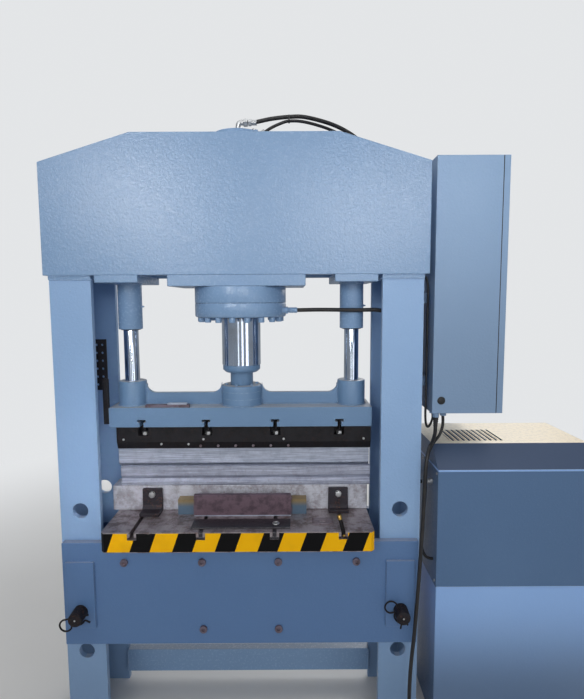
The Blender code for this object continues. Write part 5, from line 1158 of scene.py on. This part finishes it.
def make_gear():
    """Mounting plate, wiring ducts, rail devices and contactors inside the cabinet."""
    low = CABINET_LOW
    back, face, rail = 0.7765, 0.7767, 0.7843
    plate = bar((0.7745, 0.045, low + 0.035), (back, 0.595, low + 0.965), 0.0008, 2)
    piece("mounting_plate", [plate], "press", ZINC)
    spots = [(y, low + z) for y in (0.060, 0.580) for z in (0.06, 0.94)]
    post = [(0, 0), (0.004, 0), (0.004, 0.0024), (0, 0.0024)]
    posts = [turned((0.7722, y, z), (1, 0, 0), post, 16) for y, z in spots]
    posts += [hexagon((back, y, z), (1, 0, 0), 0.010, 0.005) for y, z in spots]
    piece("plate_bolts", posts, "press", ZINC)
    ducts = [
        bar((face, 0.075, low + z), (0.8167, 0.565, low + z + 0.040), 0.0015)
        for z in (0.090, 0.330, 0.590, 0.850)
    ]
    ducts += [bar((face, y, low + 0.060), (0.8167, y + 0.023, low + 0.930), 0.0015) for y in (0.050, 0.567)]
    piece("wiring_ducts", ducts, "press", DUCT)
    rails = [
        bar((face, 0.090, low + z), (0.7842, 0.555, low + z + 0.035), 0.0008)
        for z in (0.210, 0.470, 0.730)
    ]
    piece("device_rails", rails, "press", ZINC)
    fuse, clamp, breaker, contactor, starter = 0.036, 0.0062, 0.054, 0.045, 0.070
    cases, darks = [], []
    for z, widths in (
        (0.730, (fuse,) * 6 + (breaker,) * 2),
        (0.470, (contactor,) * 5 + (starter,)),
        (0.210, (clamp,) * 36),
    ):
        y = 0.105
        z += low
        for wide in widths:
            if wide == clamp:
                cases.append(bar((rail, y, z - 0.012), (0.8240, y + wide - 0.0004, z + 0.047), 0.0008))
            else:
                target = darks if wide in (contactor, breaker) else cases
                deep = 0.068 if wide == fuse else 0.082
                shoulder, end = rail + deep * 0.72, y + wide
                target.append(bar((rail, y, z - 0.026), (shoulder, end - 0.0008, z + 0.061), 0.0015))
                low_nose, high_nose = (
                    rail + deep * 0.70, y + 0.002, z - 0.006,
                ), (rail + deep, end - 0.003, z + 0.041)
                target.append(bar(low_nose, high_nose, 0.0020))
            y += wide
    piece("rail_devices", cases, "press", DEVICE)
    piece("contactors", darks, "press", PLUG)
    wires = []
    rng = np.random.default_rng(5)
    for z0, z1 in (
        (0.130, 0.198), (0.258, 0.330), (0.370, 0.444), (0.532, 0.590), (0.630, 0.704), (0.792, 0.850),
    ):
        for y in np.arange(0.112, 0.325, 0.0135):
            bow = rng.uniform(0.003, 0.010)
            middle = (0.806 + bow, y + rng.uniform(-0.003, 0.003), low + (z0 + z1) / 2)
            path = smooth([(0.800, y, low + z0 - 0.006), middle, (0.800, y, low + z1 + 0.006)], 0.009)
            wires.append(carried(path, circle(0.0013, 6)))
    piece("cabinet_wires", wires, "press", SHEATH)


def make_unit_details():
    """Pump cover's louvre hoods, painted shade in their slots, strips of painted highlight, and corner
    screws.

    A hood's height is lift * sin, risen over 20 mm at either end of its run, over a half ellipse across it.
    """
    front, back, pitch, half = 0.142, 0.318, 0.023, 0.0052
    t = np.linspace(0, math.pi, 9)
    run = np.linspace(front, back, 24)
    ends = [np.sin(np.clip(gap / 0.020, 0, 1) * math.pi / 2) for gap in (run - front, back - run)]
    rise = np.maximum(ends[0] * ends[1], 0.05)[:, None]
    across = np.r_[np.cos(t) * half, np.linspace(-half, half, 5)[1:-1]]
    lift = np.r_[np.sin(t) * 0.0015, np.full(3, -0.0004)]
    shape = (24, 12)
    hoods = []
    for i in range(10):
        x = np.broadcast_to(0.893 + pitch * i - half + across, shape)
        y = np.broadcast_to(run[:, None], shape)
        grid = np.stack((x, y, COVER_TOP + 0.0002 + lift * rise), -1)
        hoods.append(capped(grid[:1].mean(1, keepdims=True), grid, grid[-1:].mean(1, keepdims=True)))
    piece("louvre_hoods", hoods, "press", COVER)
    # Dark strips on the cover's top: painted shade in the louvres' openings
    slots = [
        bar((x, front, COVER_TOP + 0.0001), (x + 0.0030, back, COVER_TOP + 0.0006), 0.0002, 1)
        for x in 0.8990 + pitch * np.arange(10)
    ]
    piece("louvre_slot_shade_strips", slots, "press", GASKET)
    # Light strips: painted highlights along the cover's folds and at its joint with the tank
    seam = [bar((0.7948, -0.0022, 1.0885), (1.4452, 0.0006, 1.0965), 0.0010)]
    seam += [bar((0.7945, 0.0, 1.0885), (0.7956, 0.4450, 1.0965), 0.0005, 1)]
    seam += [bar((0.7948, -0.0016, 0.5995), (1.4452, 0.0006, 0.6055), 0.0008)]
    piece("cover_fold_highlight_strips", seam, "press", TANK)
    screws = [
        screw((x, y, z), (way, 0, 0), 0.0055, 0.0035)
        for x, way in ((0.7952, -1), (1.4448, 1))
        for y in (0.020, 0.225, 0.425)
        for z in (0.622, 1.075)
    ]
    piece("cover_screws", screws, "press", ZINC)


# Finishes on the model's own nodes


def dress_nodes():
    """Gives every node that stays in sight its finish."""
    table = {
        FRAME: (
            "crosshead_front_plate", "crosshead_rear_plate", "cylinder_seat_plate", "left_guide_plate",
            "right_guide_plate", "left_cap_plate", "right_cap_plate", "rear_tie_bar",
        ),
        LIT_COLUMN_ENAMEL: (
            "left_column_front_plate", "left_column_rear_plate", "left_column_web",
            "right_column_front_plate", "right_column_rear_plate", "right_column_web",
        ),
        SHADED_RAM_ENAMEL: ("ram_plate", "rod_retainer"),
        SHADED_BED_ENAMEL: ("bed_front_plate", "bed_rear_plate", "left_bed_web", "right_bed_web"),
        CABINET: ("cabinet_shell", "cabinet_door"),
        COVER: ("pump_cover",),
        TANK: ("oil_tank",),
        GROUND: ("punch",),
        DIE: ("v_die",),
        BASE: ("die_base",),
        TABLE: ("table_plate",),
        TEMPER: ("steel_block",),
        BLACK: ("tool_holder", "switch_bar", "switch_bracket"),
        CLAMP: ("left_die_clamp", "right_die_clamp"),
        ZINC: ("cabinet_lock",),
        MOTOR: ("pump_motor",),
    }
    for finish, names in table.items():
        for name in names:
            for holder in NODES[name].material_slots:
                holder.material = finish


def main():
    """Camera and room first, then the pieces, then the finishes of the model's own nodes."""
    make_camera()
    make_surroundings()
    make_supply_cable()
    make_hoses()
    make_frame_welds()
    make_cylinder()
    make_rod_and_ram()
    make_tool_fasteners()
    make_bed_details()
    make_table_details()
    make_cabinet_details()
    make_gear()
    make_unit_details()
    dress_nodes()


main()
